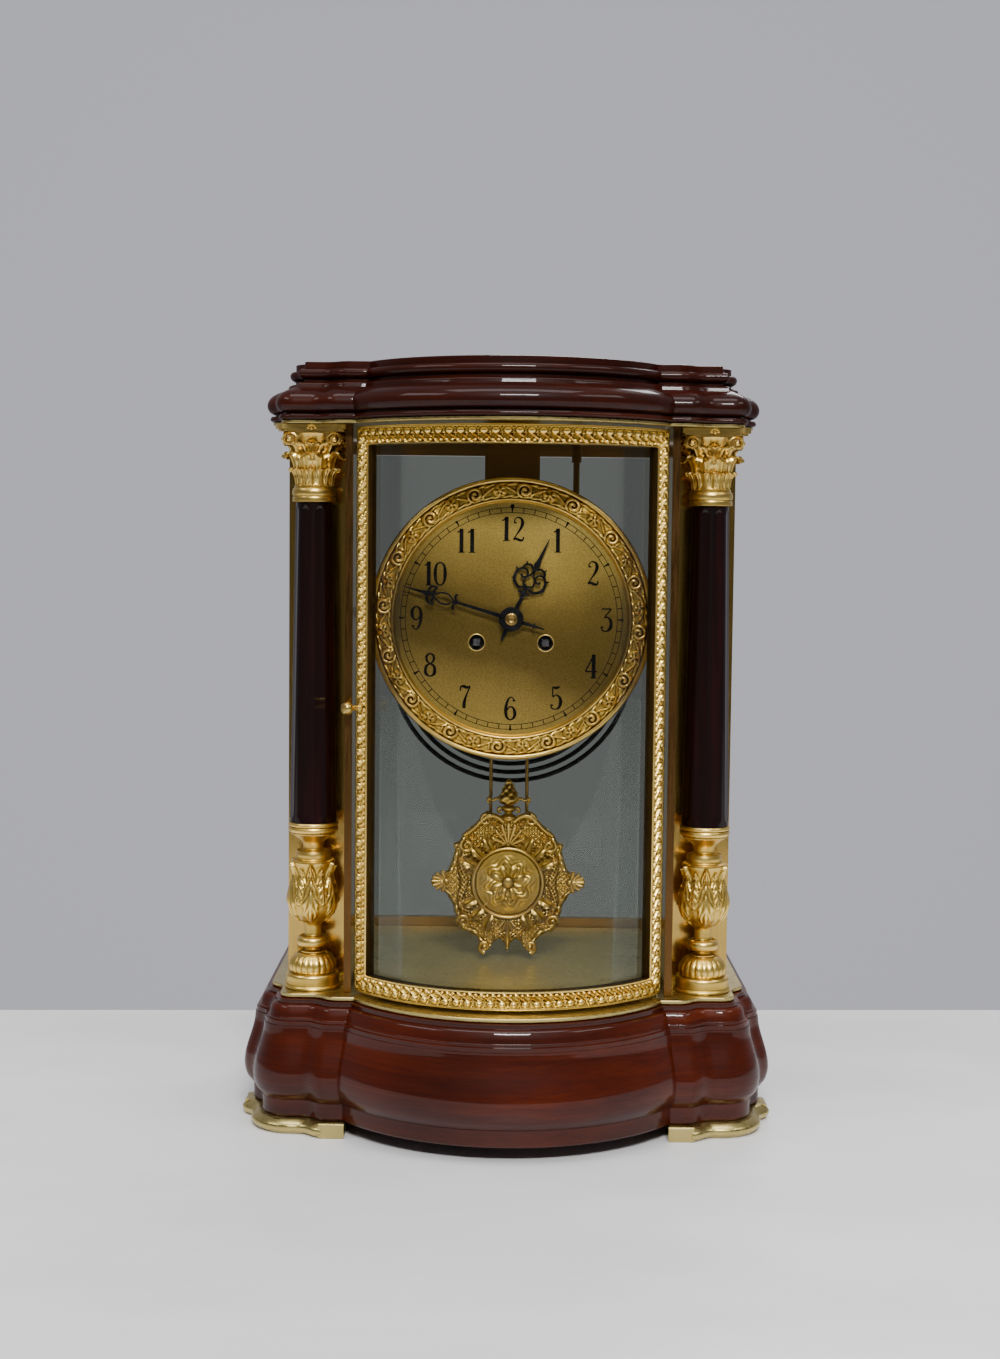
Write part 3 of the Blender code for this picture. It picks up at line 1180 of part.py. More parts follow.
def add_gong():
    points = gong_points()
    print(f"least gap between turns of the gong: {1000 * least_turn_gap(points):.2f} mm")
    curve = bpy.data.curves.new("gong_coil", "CURVE")
    curve.dimensions = "3D"
    curve.bevel_depth = GONG_WIRE_RADIUS
    curve.bevel_resolution = 1
    curve.use_fill_caps = True
    spline = curve.splines.new("POLY")
    spline.points.add(len(points) - 1)
    for point, (x, z) in zip(spline.points, points):
        point.co = (x, GONG_Y, GONG_CENTRE_HEIGHT + z, 1)
    curve.materials.append(blued("gong_coil"))
    coil = bpy.data.objects.new("gong_coil", curve)
    bpy.context.scene.collection.objects.link(coil)
    add_gong_post()


def add_gong_post():
    """Stepped post from the top plate down to the block that grips the gong's outer end."""
    end_height = GONG_CENTRE_HEIGHT + math.sqrt(GONG_RADIUS ** 2 - GONG_POST_SIDE ** 2)
    block_low = end_height + GONG_WIRE_RADIUS + GAP
    top = CASE_TOP
    profile = (
        (GONG_POST_RADIUS, block_low + GONG_BLOCK_HEIGHT / 2),
        (GONG_POST_RADIUS, top - GONG_POST_HEAD_LENGTH),
        (GONG_POST_HEAD_RADIUS, top - GONG_POST_HEAD_LENGTH),
        (GONG_POST_HEAD_RADIUS, top),
    )
    bm = bmesh.new()
    turn_profile(bm, profile, 16)
    transform(bm, Matrix.Translation((GONG_POST_SIDE, GONG_Y, 0)))
    post = add_piece("gong_post", bm, brass)
    low = (GONG_POST_SIDE - GONG_BLOCK_WIDTH / 2, GONG_Y - GONG_BLOCK_DEPTH / 2, block_low)
    high = (GONG_POST_SIDE + GONG_BLOCK_WIDTH / 2, GONG_Y + GONG_BLOCK_DEPTH / 2, block_low + GONG_BLOCK_HEIGHT)
    bm = bmesh.new()
    box(bm, low, high)
    combine(post, add_piece("gong_block", bm, brass), "UNION")


def add_hammer():
    """Strike hammer: arbor from the movement, arm and round head beside the gong's outer turn."""
    x = -HAMMER_SIDE
    z = DIAL_HEIGHT + HAMMER_RISE
    back = GONG_Y - GONG_WIRE_RADIUS - HAMMER_CLEARANCE
    start = MOVEMENT_BACK + GAP
    pivot = (x, start, z)
    bm = bmesh.new()
    slab(bm, circle(ARBOR_RADIUS, 12), 0, back - start)
    transform(bm, facing(x, back, z))
    hammer = add_piece("strike_hammer", bm, steel, pivot)
    reach = GONG_RADIUS + GONG_WIRE_RADIUS + HAMMER_HEAD_RADIUS + 4 * GAP
    head_x = reach * math.cos(HAMMER_HEAD_DIRECTION)
    head_z = GONG_CENTRE_HEIGHT + reach * math.sin(HAMMER_HEAD_DIRECTION)
    along = Vector((head_x - x, 0, head_z - z))
    length = along.length
    bm = bmesh.new()
    half = HAMMER_ARM_WIDTH / 2
    box(bm, (0, -half, -half), (length, half, half))
    turn = Vector((1, 0, 0)).rotation_difference(along).to_matrix().to_4x4()
    transform(bm, Matrix.Translation((x, back - half, z)) @ turn)
    combine(hammer, add_piece("hammer_arm", bm, steel), "UNION")
    bm = bmesh.new()
    slab(bm, circle(HAMMER_HEAD_RADIUS, 16), -HAMMER_HEAD_LENGTH / 2, HAMMER_HEAD_LENGTH / 2)
    transform(bm, facing(head_x, GONG_Y, head_z))
    combine(hammer, add_piece("hammer_head", bm, brass), "UNION")


def main():
    clear_scene()
    for end_name, end in (("front", -1), ("rear", 1)):
        add_foot(f"foot_{end_name}_left", -1, end)
        add_foot(f"foot_{end_name}_right", 1, end)
    add_base()
    add_plate("base_plate", PLATE_BOTTOM, PLATE_TOP)
    add_plate("top_plate", TOP_PLATE_BOTTOM, TOP_PLATE_TOP)
    add_cornice()
    add_floor_plate()
    for label, side in (("left", -1), ("right", 1)):
        add_vase(f"column_vase_{label}", side)
        add_shaft(f"column_shaft_{label}", side)
        add_capital(f"column_capital_{label}", side)
        add_cheek(f"cheek_{label}", side)
        add_side(label, side)
    add_front_door()
    add_back_door()
    add_dial()
    add_bezel()
    add_movement_plate("movement_front_plate", MOVEMENT_FRONT, True)
    add_movement_plate("movement_back_plate", MOVEMENT_BACK - MOVEMENT_PLATE_THICKNESS, False)
    add_bracket()
    add_barrel("going_barrel", 1)
    add_barrel("strike_barrel", -1)
    add_winding_arbor("going_winding_arbor", 1)
    add_winding_arbor("strike_winding_arbor", -1)
    add_centre_arbor()
    add_escape_wheel()
    add_anchor()
    add_motion_work()
    add_hand("hour_hand", HOUR_HAND_ANGLE, HOUR_HAND_LENGTH, HOUR_HAND_TAIL, HOUR_LEAF_WIDTH,
             HAND_HUB_RADIUS * 2, HOUR_HAND_LENGTH * 0.75, 1)
    add_hand("minute_hand", MINUTE_HAND_ANGLE, MINUTE_HAND_LENGTH, MINUTE_HAND_TAIL, MINUTE_LEAF_WIDTH,
             MINUTE_HAND_LENGTH * 0.45, MINUTE_HAND_LENGTH * 0.88, 2)
    add_back_cock()
    add_pendulum()
    add_gong()
    add_hammer()


main()
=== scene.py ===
"""Looks of the four glass mantel clock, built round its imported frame. Metres, +Z up, front facing -Y."""

import json
import math

import bmesh
import bpy
import numpy as np
from mathutils import Matrix, Vector


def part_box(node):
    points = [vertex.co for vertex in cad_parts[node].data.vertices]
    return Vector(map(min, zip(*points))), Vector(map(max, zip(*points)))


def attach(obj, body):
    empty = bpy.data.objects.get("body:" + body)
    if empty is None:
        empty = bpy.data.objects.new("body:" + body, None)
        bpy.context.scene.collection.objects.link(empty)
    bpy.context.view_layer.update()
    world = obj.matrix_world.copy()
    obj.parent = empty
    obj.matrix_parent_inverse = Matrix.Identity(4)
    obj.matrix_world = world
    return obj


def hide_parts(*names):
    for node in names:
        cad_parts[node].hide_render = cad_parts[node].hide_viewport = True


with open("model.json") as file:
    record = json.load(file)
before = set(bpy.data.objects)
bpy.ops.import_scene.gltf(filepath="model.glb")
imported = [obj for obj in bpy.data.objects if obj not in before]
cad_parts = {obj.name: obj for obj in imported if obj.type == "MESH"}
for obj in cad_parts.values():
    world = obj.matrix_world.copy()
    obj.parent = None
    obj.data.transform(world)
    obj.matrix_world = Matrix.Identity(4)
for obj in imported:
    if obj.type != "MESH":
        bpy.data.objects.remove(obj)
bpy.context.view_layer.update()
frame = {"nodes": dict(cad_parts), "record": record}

MM = 0.001
TAU = math.tau

# Camera and slab, in metres. The photograph's frame is taken as 1000 x 1359 pixels
IMAGE_HEIGHT_PX = 1359
FOCAL_LENGTH_PX = 1928
SENSOR_HEIGHT_MM = 24
CAMERA_PLACE = (-0.006, -1.139, 0.3345)
CAMERA_TILT = math.radians(4.26)
CAMERA_ROLL = math.radians(0.6)
SLAB_EDGE = 0.204
SLAB_TURN = math.radians(2.4)
SLAB_DEPTH = 1.15
SLAB_HALF_WIDTH = 3

# The clock's sizes and places are in millimetres, and make_piece scales the finished mesh to metres.
# Materials, stage and lights are in metres

# Plan of the case
FRONT_PLANE = -69.3
REAR_PLANE = 113.7
BLOCK_HALF_WIDTH = 128.6
BLOCK_CORNER_RADIUS = 8
LEAST_CORNER_RADIUS = 1.2
STEP_START = 21.7
STEP_REACH = 7.5
STEP_EASE = 3.5
FLAT_RIM = 1.5
BOW_RADIUS = 104.3
BOW_CENTRE_SETBACK = 51.3
BOW_FACETS = 96
CORNER_FACETS = 8
STEP_FACETS = 6

# Mouldings: shares of reach and height. In all outlines a third value marks a sharp corner
BASE_REACH = 15.3
BASE_OUTLINE_SHARES = (
    (0.62, 0.0, 1), (0.66, 0.015, 1), (0.66, 0.145, 1), (0.7, 0.152, 1), (0.76, 0.17), (0.9, 0.22),
    (0.98, 0.285), (1.0, 0.35), (0.96, 0.43), (0.86, 0.52), (0.74, 0.61), (0.65, 0.69), (0.61, 0.76),
    (0.6, 0.785, 1), (0.56, 0.788, 1), (0.56, 0.825, 1), (0.47, 0.83, 1), (0.47, 0.845, 1), (0.42, 0.85),
    (0.4, 0.868), (0.37, 0.9), (0.29, 0.94), (0.19, 0.957, 1), (0.12, 0.96, 1), (0.12, 0.985, 1),
    (0.17, 0.99, 1), (0.17, 1.0, 1),
)
CORNICE_REACH = 12.4
CORNICE_OUTLINE_SHARES = (
    (0.06, 0.0, 1), (0.12, 0.02), (0.13, 0.05), (0.08, 0.085, 1), (-0.1, 0.09, 1), (-0.1, 0.12, 1),
    (0.06, 0.135), (0.19, 0.18), (0.26, 0.25), (0.24, 0.33), (0.12, 0.41), (-0.12, 0.48), (-0.45, 0.535),
    (-0.6, 0.555, 1), (-0.64, 0.56, 1), (-0.66, 0.585), (-0.7, 0.625), (-0.84, 0.65), (-0.98, 0.66, 1),
    (-0.98, 0.7, 1), (-0.86, 0.72, 1), (-0.78, 0.745), (-0.73, 0.8), (-0.78, 0.855), (-0.87, 0.875, 1),
    (-0.99, 0.88, 1), (-0.99, 0.99, 1), (-1.04, 1.0, 1),
)

# Feet, plates and bars
SIDES = (("left", -1), ("right", 1))
FOOT_REACH = 16.4
FOOT_WIDTH = 21.5
FOOT_ARM = 54.8
FOOT_TAB = 13
FOOT_TAB_LEVELS = ((0.09, 0.0), (0.07, 0.04), (0.07, 0.9), (0.1, 0.99))
PLATE_EASE = 0.35
BAR_EASE = 0.3
BAR_WIDTH = 4.1
BAR_OVERLAP = 0.05
BAR_FRONT = -0.1
BAR_BACK = 1.6
EDGE_EASE = 0.25

# Front door and its carved frame
DOOR_RADIUS = 106.7
DOOR_HALF_WIDTH = 87
DOOR_EDGE_SETBACK = 3.4
DOOR_THICKNESS = 7
DOOR_RAIL_WIDTH = 10.4
DOOR_END_ANGLE = math.asin(DOOR_HALF_WIDTH / DOOR_RADIUS)
DOOR_CENTRE_Y = FRONT_PLANE + DOOR_EDGE_SETBACK + DOOR_RADIUS * math.cos(DOOR_END_ANGLE)
EGG_PITCH = 6.4
OUTER_FILLET_END = 1.25
EGG_BAND_END = 6.4
ROPE_BAND_START = 4.9
BEAD_BAND_START = 7.5
SIGHT_FILLET_START = 9.2
GLASS_SETBACK = 3.2
GLASS_THICKNESS = 2.8
GLASS_BEVEL_WIDTH = 3.2
GLASS_BEVEL_DEPTH = 0.5
GLASS_CLEARANCE = 0.3
FRAME_STEP = 0.42
FRAME_COLUMNS = 34
KNOB_HEIGHT = 238.4

# Columns
COLUMN_X = 111.7
COLUMN_Y = FRONT_PLANE + 21.6

# Dial
DIAL_HEIGHT = 287.9
DIAL_FRONT = FRONT_PLANE + 15.8
DIAL_RADIUS = 66.8
# The dial's painted light and shade ramp is centred this far above the dial's centre
DIAL_SHADE_RISE = 20
BEZEL_INNER_RADIUS = 65.5
BEZEL_OUTER_RADIUS = 79.5
BEZEL_UNITS = 32
BEZEL_SIGHT_EDGE = 66.6
BEZEL_BACK_RADIUS = 67.1
BEZEL_BAND_START = 67.6
BEZEL_MIDDLE_RADIUS = 72.1
BEZEL_BAND_END = 76.9
BEZEL_BEAD_RADIUS = 78
BEZEL_BEAD_HALF_WIDTH = 1.55
BEZEL_UNIT_RADIUS = 72
BEZEL_STEPS = 1200
BEZEL_COLUMNS = 38
TRACK_INNER_RADIUS = 59.7
TRACK_OUTER_RADIUS = 62.5
TRACK_HALF_LINE = 0.18
NUMERAL_OUTER_RADIUS = 57.3
NUMERAL_HEIGHT = 13.4
PRINT_RELIEF = 0.06
WINDING_HOLE_RADIUS = 4.6
WINDING_HOLE_SPREAD = 19.4
WINDING_HOLE_DROP = 13.45
WINDING_WELL_DEPTH = 7.2
WELL_FLOOR_RADIUS = 2.9

# Hands
HOUR_HAND_ANGLE = math.radians(25)
MINUTE_HAND_ANGLE = math.radians(286.6)

# Pendulum
PENDULUM_Y = FRONT_PLANE + 80
BOB_HEIGHT = 127.5
BOB_HALF_WIDTH = 46.3
BOB_FRONT = PENDULUM_Y - 8.4
ROD_SPREAD = 10.8
YOKE_HALF_WIDTH = 12.3
MEDALLION_RADIUS = 16.6
MEDALLION_SCALE = 1.18
TRELLIS_PITCH = 3.3
GARLAND_RADIUS = 28.5
GARLAND_HALF_WIDTH = 2.6
BOB_RIM_WIDTH = 3.4
BOB_STEPS = 620
BOB_RINGS = 96

# Gong
GONG_Y = FRONT_PLANE + 104
GONG_HEIGHT = 258.5
GONG_RADIUS = 75.5
GONG_INNER_RADIUS = 54.7
GONG_TURNS = 4
GONG_STEPS_PER_TURN = 72
GONG_WIRE_RADIUS = 1.4
GONG_POST_SIDE = 39


# Materials

def fill_ramp(ramp, stops):
    """Give a colour ramp its colours, each at a place from 0 to 1."""
    elements = ramp.color_ramp.elements
    while len(elements) < len(stops):
        elements.new(0.5)
    for element, (place, colour) in zip(elements, stops):
        element.position = place
        element.color = (*colour, 1)


def scaled(values, factor):
    return tuple(factor * value for value in values)


class Nodes:
    """Short way to build a material's node tree. Scales and distances are in metres."""

    sockets = {"colour": "Base Color", "roughness": "Roughness", "metallic": "Metallic",
               "coat": "Coat Weight", "coat_roughness": "Coat Roughness", "ior": "IOR",
               "specular": "Specular IOR Level"}

    def __init__(self, name):
        self.material = bpy.data.materials.new(name)
        self.material.use_nodes = True
        self.tree = self.material.node_tree
        self.shader = self.tree.nodes["Principled BSDF"]
        self.place = self.node("ShaderNodeTexCoord", {}).outputs["Object"]

    def feed(self, socket, value):
        """Give a socket a value, or another node's output."""
        if isinstance(value, bpy.types.NodeSocket):
            self.tree.links.new(value, socket)
        else:
            socket.default_value = value

    def node(self, kind, inputs, **values):
        """Add a node. Its inputs are named or numbered, the other values are its own settings."""
        made = self.tree.nodes.new(kind)
        for key, value in values.items():
            setattr(made, key, value)
        for key, value in inputs.items():
            self.feed(made.inputs[key], value)
        return made

    def stretched(self, scale, vector):
        """Coordinates scaled along each axis."""
        return self.node("ShaderNodeMapping", {"Scale": scale, "Vector": vector}).outputs["Vector"]

    def axes(self):
        """The object's X, Y and Z, each on its own."""
        return self.node("ShaderNodeSeparateXYZ", {"Vector": self.place}).outputs

    def calculate(self, operation, *values):
        return self.node("ShaderNodeMath", dict(enumerate(values)), operation=operation).outputs[0]

    def noise(self, vector, scale, detail=4.0, roughness=0.5):
        inputs = {"Scale": scale, "Detail": detail, "Roughness": roughness, "Vector": vector}
        return self.node("ShaderNodeTexNoise", inputs).outputs["Fac"]

    def ramp(self, value, stops):
        made = self.node("ShaderNodeValToRGB", {"Fac": value})
        fill_ramp(made, stops)
        return made.outputs["Color"]

    def multiply(self, share, first, second):
        """The first colour, multiplied by a share of the second."""
        inputs = {"Factor": share, 6: first, 7: second}
        return self.node("ShaderNodeMix", inputs, data_type="RGBA", blend_type="MULTIPLY").outputs[2]

    def range(self, value, low, high, to_low, to_high):
        inputs = {"Value": value, "From Min": low, "From Max": high, "To Min": to_low, "To Max": to_high}
        return self.node("ShaderNodeMapRange", inputs).outputs["Result"]

    def bump(self, height, strength, distance):
        inputs = {"Strength": strength, "Distance": distance, "Height": height}
        self.feed(self.shader.inputs["Normal"], self.node("ShaderNodeBump", inputs).outputs["Normal"])

    def set(self, **values):
        for key, value in values.items():
            self.feed(self.shader.inputs[self.sockets[key]], value)


def wood_material(name, along, depth=1.0, coat=0.5):
    """French-polished mahogany. The grain runs along X or Z, and round the corners with the veneer."""
    made = Nodes(name)
    if along == "X":
        axes = made.axes()
        round_corners = {"X": made.calculate("ADD", axes["X"], axes["Y"]), "Z": axes["Z"]}
        veneer = made.node("ShaderNodeCombineXYZ", round_corners)
        grain = made.stretched((3.5, 1, 42), veneer.outputs["Vector"])
        stops = ((0.25, (0.03, 0.0032, 0.0004)), (0.5, (0.056, 0.0062, 0.0006)),
                 (0.75, (0.1, 0.0135, 0.0014)))
    else:
        grain = made.stretched((60, 60, 3), made.place)
        stops = ((0.3, (0.004, 0.0004, 0.0004)), (0.55, (0.01, 0.001, 0.001)),
                 (0.8, (0.03, 0.003, 0.002)))
    figure = made.noise(grain, 3.0, 6.0, 0.6)
    pores = made.noise(grain, 22.0, 3.0, 0.7)
    cloud = made.noise(made.place, 14.0, 2.0)
    figure_colour = made.ramp(figure, [(place, scaled(colour, depth)) for place, colour in stops])
    pore_colour = made.ramp(pores, ((0.35, (0.6, 0.56, 0.56)), (0.55, (1, 1, 1))))
    cloud_colour = made.ramp(cloud, ((0.3, (0.45, 0.42, 0.42)), (0.7, (1.0, 0.95, 0.9))))
    colour = made.multiply(0.8, made.multiply(0.7, figure_colour, pore_colour), cloud_colour)
    made.set(colour=colour, roughness=made.range(pores, 0.3, 0.7, 0.5, 0.4), coat=coat, coat_roughness=0.03,
             ior=1.45, specular=0.1)
    made.bump(pores, 0.04, 0.0003)
    return made.material


def gilt_material(name, bright=1.0, worn=0.28):
    """Fire-gilt bronze: satin gold, with painted shade that darkens its hollows and a painted highlight that
    lightens its edges, which are also smoother, as burnished.
    """
    made = Nodes(name)
    hollow = made.node("ShaderNodeNewGeometry", {}).outputs["Pointiness"]
    fine = made.noise(made.place, 900.0, 3.0)
    broad = made.noise(made.place, 60.0, 3.0)
    shade_and_burnish = made.range(hollow, 0.45, 0.53, 0.0, 1.0)
    # Pointiness drives painted shade in the hollows and a painted highlight on the edges, and the real
    # burnish in the roughness
    stops = ((0.0, (0.12, 0.066, 0.006)), (0.5, (0.6, 0.39, 0.065)), (1.0, (1.0, 0.72, 0.22)))
    colour = made.ramp(shade_and_burnish, [(place, scaled(tone, bright)) for place, tone in stops])
    tint = made.ramp(broad, ((0.3, (0.88, 0.84, 0.78)), (0.7, (1, 1, 1))))
    made.set(colour=made.multiply(0.7, colour, tint), metallic=1.0,
             roughness=made.range(shade_and_burnish, 0.0, 1.0, worn + 0.22, worn))
    made.bump(fine, 0.12, 0.0002)
    return made.material


def brass_material(name, colour, roughness, brushed=(1, 1, 1), streak=0.5, metallic=1.0):
    """Lacquered brass with fine brushing along one direction and faint tarnish."""
    made = Nodes(name)
    lines = made.noise(made.stretched(scaled(brushed, 900), made.place), 1.0, 3.0)
    patch = made.noise(made.place, 25.0, 4.0)
    made.set(colour=made.ramp(patch, ((0.3, scaled(colour, 0.78)), (0.65, colour))), metallic=metallic,
             roughness=made.range(lines, 0.3, 0.7, roughness * 0.8, roughness * 1.25))
    if streak:
        made.bump(lines, streak * 0.1, 0.0001)
    return made.material


def dial_material():
    """Gilt dial with a matted, very fine grain, and painted light and shade: painted highlights below and
    above, painted shade in between.
    """
    made = Nodes("dial_gilt")
    grain = made.noise(made.place, 1100.0, 3.0)
    cloud = made.noise(made.place, 16.0, 4.0)
    axes = made.axes()
    slope = made.calculate("MULTIPLY_ADD", axes["X"], 0.3, axes["Z"])
    shade_height = made.calculate("MULTIPLY_ADD", cloud, 0.04, slope)
    middle = MM * (DIAL_HEIGHT + DIAL_SHADE_RISE)
    level = made.range(shade_height, middle - MM * DIAL_RADIUS, middle + MM * DIAL_RADIUS, 0.0, 1.0)
    # Painted light and shade by height: painted highlights at the dial's bottom and top, painted shade
    # across its middle, tilted a little with X
    tone = made.ramp(level, (
        (0.0, (0.6, 0.42, 0.1)), (0.17, (0.46, 0.32, 0.085)), (0.3, (0.24, 0.162, 0.042)),
        (0.42, (0.21, 0.142, 0.035)), (0.6, (0.32, 0.216, 0.052)), (0.85, (0.64, 0.452, 0.11)),
        (1.0, (0.67, 0.485, 0.13)),
    ))
    speck = made.ramp(grain, ((0.35, (0.72, 0.7, 0.66)), (0.65, (1.1, 1.1, 1.1))))
    made.set(colour=made.multiply(0.8, tone, speck), metallic=1.0,
             roughness=made.range(cloud, 0.3, 0.7, 0.36, 0.44))
    made.bump(grain, 0.1, 0.0001)
    return made.material


def dark_material(name, colour, roughness, metallic, specular=0.5):
    """Dark paint, blued steel, dark steel and the painted shadow in the winding wells, each with a faint
    cloud.
    """
    made = Nodes(name)
    cloud = made.noise(made.place, 220.0, 3.0)
    light = tuple(c * 1.6 + 0.004 for c in colour)
    made.set(colour=made.ramp(cloud, ((0.3, colour), (0.7, light))), metallic=metallic,
             roughness=made.range(cloud, 0.3, 0.7, roughness * 0.85, roughness * 1.2), specular=specular)
    return made.material


def steel_material():
    """Satin steel with a fine grain."""
    made = Nodes("satin_steel")
    lines = made.noise(made.stretched((500, 90, 500), made.place), 1.0, 3.0)
    made.set(colour=made.ramp(lines, ((0.3, (0.36, 0.36, 0.37)), (0.7, (0.6, 0.6, 0.61)))), metallic=1.0,
             roughness=made.range(lines, 0.3, 0.7, 0.2, 0.34))
    return made.material


def glass_material(name, clear, least, most):
    """A pane that dims what lies behind it, and reflects more at grazing angles."""
    made = Nodes(name)
    grazing = made.node("ShaderNodeLayerWeight", {"Blend": 0.35}).outputs["Fresnel"]
    smear = made.noise(made.place, 12.0, 3.0)
    colour = made.ramp(smear, ((0.3, (0.17, 0.2, 0.18)), (0.7, (0.2, 0.23, 0.21))))
    made.set(colour=colour, metallic=1.0, roughness=0.03)
    film = made.node("ShaderNodeBsdfTransparent", {"Color": (*clear, 1)}).outputs[0]
    share = made.range(grazing, 0.0, 1.0, least, most)
    mix = made.node("ShaderNodeMixShader", {0: share, 1: film, 2: made.shader.outputs[0]})
    made.feed(made.tree.nodes["Material Output"].inputs["Surface"], mix.outputs[0])
    return made.material


def floor_material():
    """Pale polished stone with faint smears."""
    made = Nodes("pale_floor")
    smear = made.noise(made.stretched((3, 7, 1), made.place), 1.4, 6.0, 0.6)
    colour = made.ramp(smear, ((0.3, (0.74, 0.735, 0.74)), (0.7, (0.84, 0.835, 0.84))))
    made.set(colour=colour, roughness=made.range(smear, 0.3, 0.7, 0.3, 0.42), specular=0.3)
    return made.material


WOOD = wood_material("polished_mahogany", "X")
# Half-bright copy of the same mahogany for the cornice: painted shade
CORNICE_WOOD = wood_material("cornice_mahogany", "X", 0.5, coat=0.28)
SHAFT_WOOD = wood_material("column_mahogany", "Z")
GILT = gilt_material("fire_gilt")
# Darker copies of the same gilt for the bob and the capitals: painted shade
BOB_GILT = gilt_material("bob_gilt", bright=0.78, worn=0.3)
CAPITAL_GILT = gilt_material("capital_gilt", bright=0.72, worn=0.3)
PLATE_BRASS = brass_material("plate_brass", (0.56, 0.45, 0.17), 0.3, (0.1, 1, 1))
BAR_BRASS = brass_material("bar_brass", (0.16, 0.08, 0.026), 0.3, (1, 1, 0.05), streak=0.12)
WALL_BRASS = brass_material("column_wall_brass", (0.58, 0.38, 0.1), 0.16, (1, 1, 0.05))
FLOOR_BRASS = brass_material("floor_plate_brass", (0.5, 0.41, 0.14), 0.32, (0.3, 1, 1), 0.0, metallic=0.5)
MOVEMENT_BRASS = brass_material("movement_brass", (0.66, 0.46, 0.13), 0.3, (1, 0.3, 1))
RAIL_BRASS = brass_material("rail_brass", (0.5, 0.31, 0.115), 0.4, (0.1, 1, 1))
BRACKET_BRASS = brass_material("bracket_brass", (0.3, 0.17, 0.045), 0.35, (1, 1, 0.05), streak=0.1)
# Dark brass for the door frame's sight returns: painted shade in the gap between frame and glass
SHADED_RETURN_BRASS = brass_material("shaded_brass", (0.1, 0.055, 0.015), 0.5, (1, 1, 0.05))
ROD_BRASS = brass_material("rod_brass", (0.42, 0.27, 0.08), 0.3, (1, 1, 0.05))
DIAL_GILT = dial_material()
BLUED = dark_material("blued_steel", (0.006, 0.006, 0.008), 0.32, 0.6)
PRINT = dark_material("dial_black", (0.003, 0.002, 0.002), 0.6, 0.0, specular=0.08)
# Black for the winding wells: painted shadow
HOLE_BLACK = dark_material("hole_shadow", (0.01, 0.008, 0.006), 0.7, 0.0)
STEEL = steel_material()
DARK_STEEL = dark_material("winding_steel", (0.15, 0.15, 0.16), 0.3, 1.0)
FRONT_GLASS = glass_material("bowed_glass", (0.97, 0.97, 0.96), 0.012, 0.4)
BEVEL_GLASS = glass_material("bevelled_glass", (0.88, 0.89, 0.87), 0.02, 0.4)
SIDE_GLASS = glass_material("flat_glass", (0.8, 0.83, 0.81), 0.02, 0.6)
# The rear pane passes only about half the light: painted shade for the dark view through the case
BACK_GLASS = glass_material("rear_glass", (0.51, 0.53, 0.5), 0.015, 0.5)


# Mesh building

DOME_TIP_RADIUS = 0.001
LEAF_COLUMNS = 9
LEAF_CUP = 0.25


class Shape:
    """Points and faces of one piece, gathered surface by surface. Numbers tell its faces' materials."""

    def __init__(self):
        self.points = []
        self.faces = []
        self.numbers = []

    def grid(self, rows, around=False, closed=False):
        """Rows of points. Around joins each row's ends, closed joins the last row to the first."""
        start, count, columns = len(self.points), len(rows), len(rows[0])
        for row in rows:
            self.points.extend(map(tuple, row))
        for i in range(count if closed else count - 1):
            low, high = start + i * columns, start + (i + 1) % count * columns
            for j in range(columns if around else columns - 1):
                k = (j + 1) % columns
                self.faces.append((low + j, low + k, high + k, high + j))
        if around and not closed:
            last = start + (count - 1) * columns
            self.faces.append(tuple(start + j for j in reversed(range(columns))))
            self.faces.append(tuple(last + j for j in range(columns)))

    def moved(self, matrix, start=0):
        """Move the points from a place in the list onwards."""
        self.points[start:] = [tuple(matrix @ Vector(point)) for point in self.points[start:]]


def make_piece(name, shape, material, body, replaced=(), crease=35):
    """Turn a shape into a piece that rides on a body. A list of materials matches the faces' numbers."""
    materials = material if isinstance(material, list) else [material]
    mesh = bpy.data.meshes.new(name)
    mesh.from_pydata([scaled(point, MM) for point in shape.points], [], shape.faces)
    for made in materials:
        mesh.materials.append(made)
    if len(materials) > 1:
        mesh.polygons.foreach_set("material_index", shape.numbers)
    bm = bmesh.new()
    bm.from_mesh(mesh)
    bmesh.ops.recalc_face_normals(bm, faces=bm.faces)
    bm.to_mesh(mesh)
    bm.free()
    mesh.shade_smooth()
    mesh.set_sharp_from_angle(angle=math.radians(crease))
    piece = bpy.data.objects.new(name, mesh)
    bpy.context.scene.collection.objects.link(piece)
    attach(piece, body)
    if replaced:
        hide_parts(*replaced)


def box(node):
    """Lowest and highest corner of a CAD piece, in millimetres."""
    return [scaled(corner, 1 / MM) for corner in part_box(node)]


def facing(x, y, z):
    """Matrix that stands a shape up: its own X and Y become X and Z, its own Z points forward."""
    return Matrix.Translation((x, y, z)) @ Matrix.Rotation(math.radians(90), 4, "X")


def polar(radius, angle):
    """Point of a circle, by its angle from the X axis."""
    return (radius * math.cos(angle), radius * math.sin(angle))


def bearing_point(radius, bearing):
    """Point of a circle, by its bearing from the top."""
    return (radius * math.sin(bearing), radius * math.cos(bearing))


def mirrored(points, hand):
    """The points as they are for the right side, mirrored for the left."""
    return [(hand * x, y, z) for x, y, z in points]


def between(first, last, share):
    """Point at a share of the way between two points."""
    return tuple(a + (b - a) * share for a, b in zip(first, last))


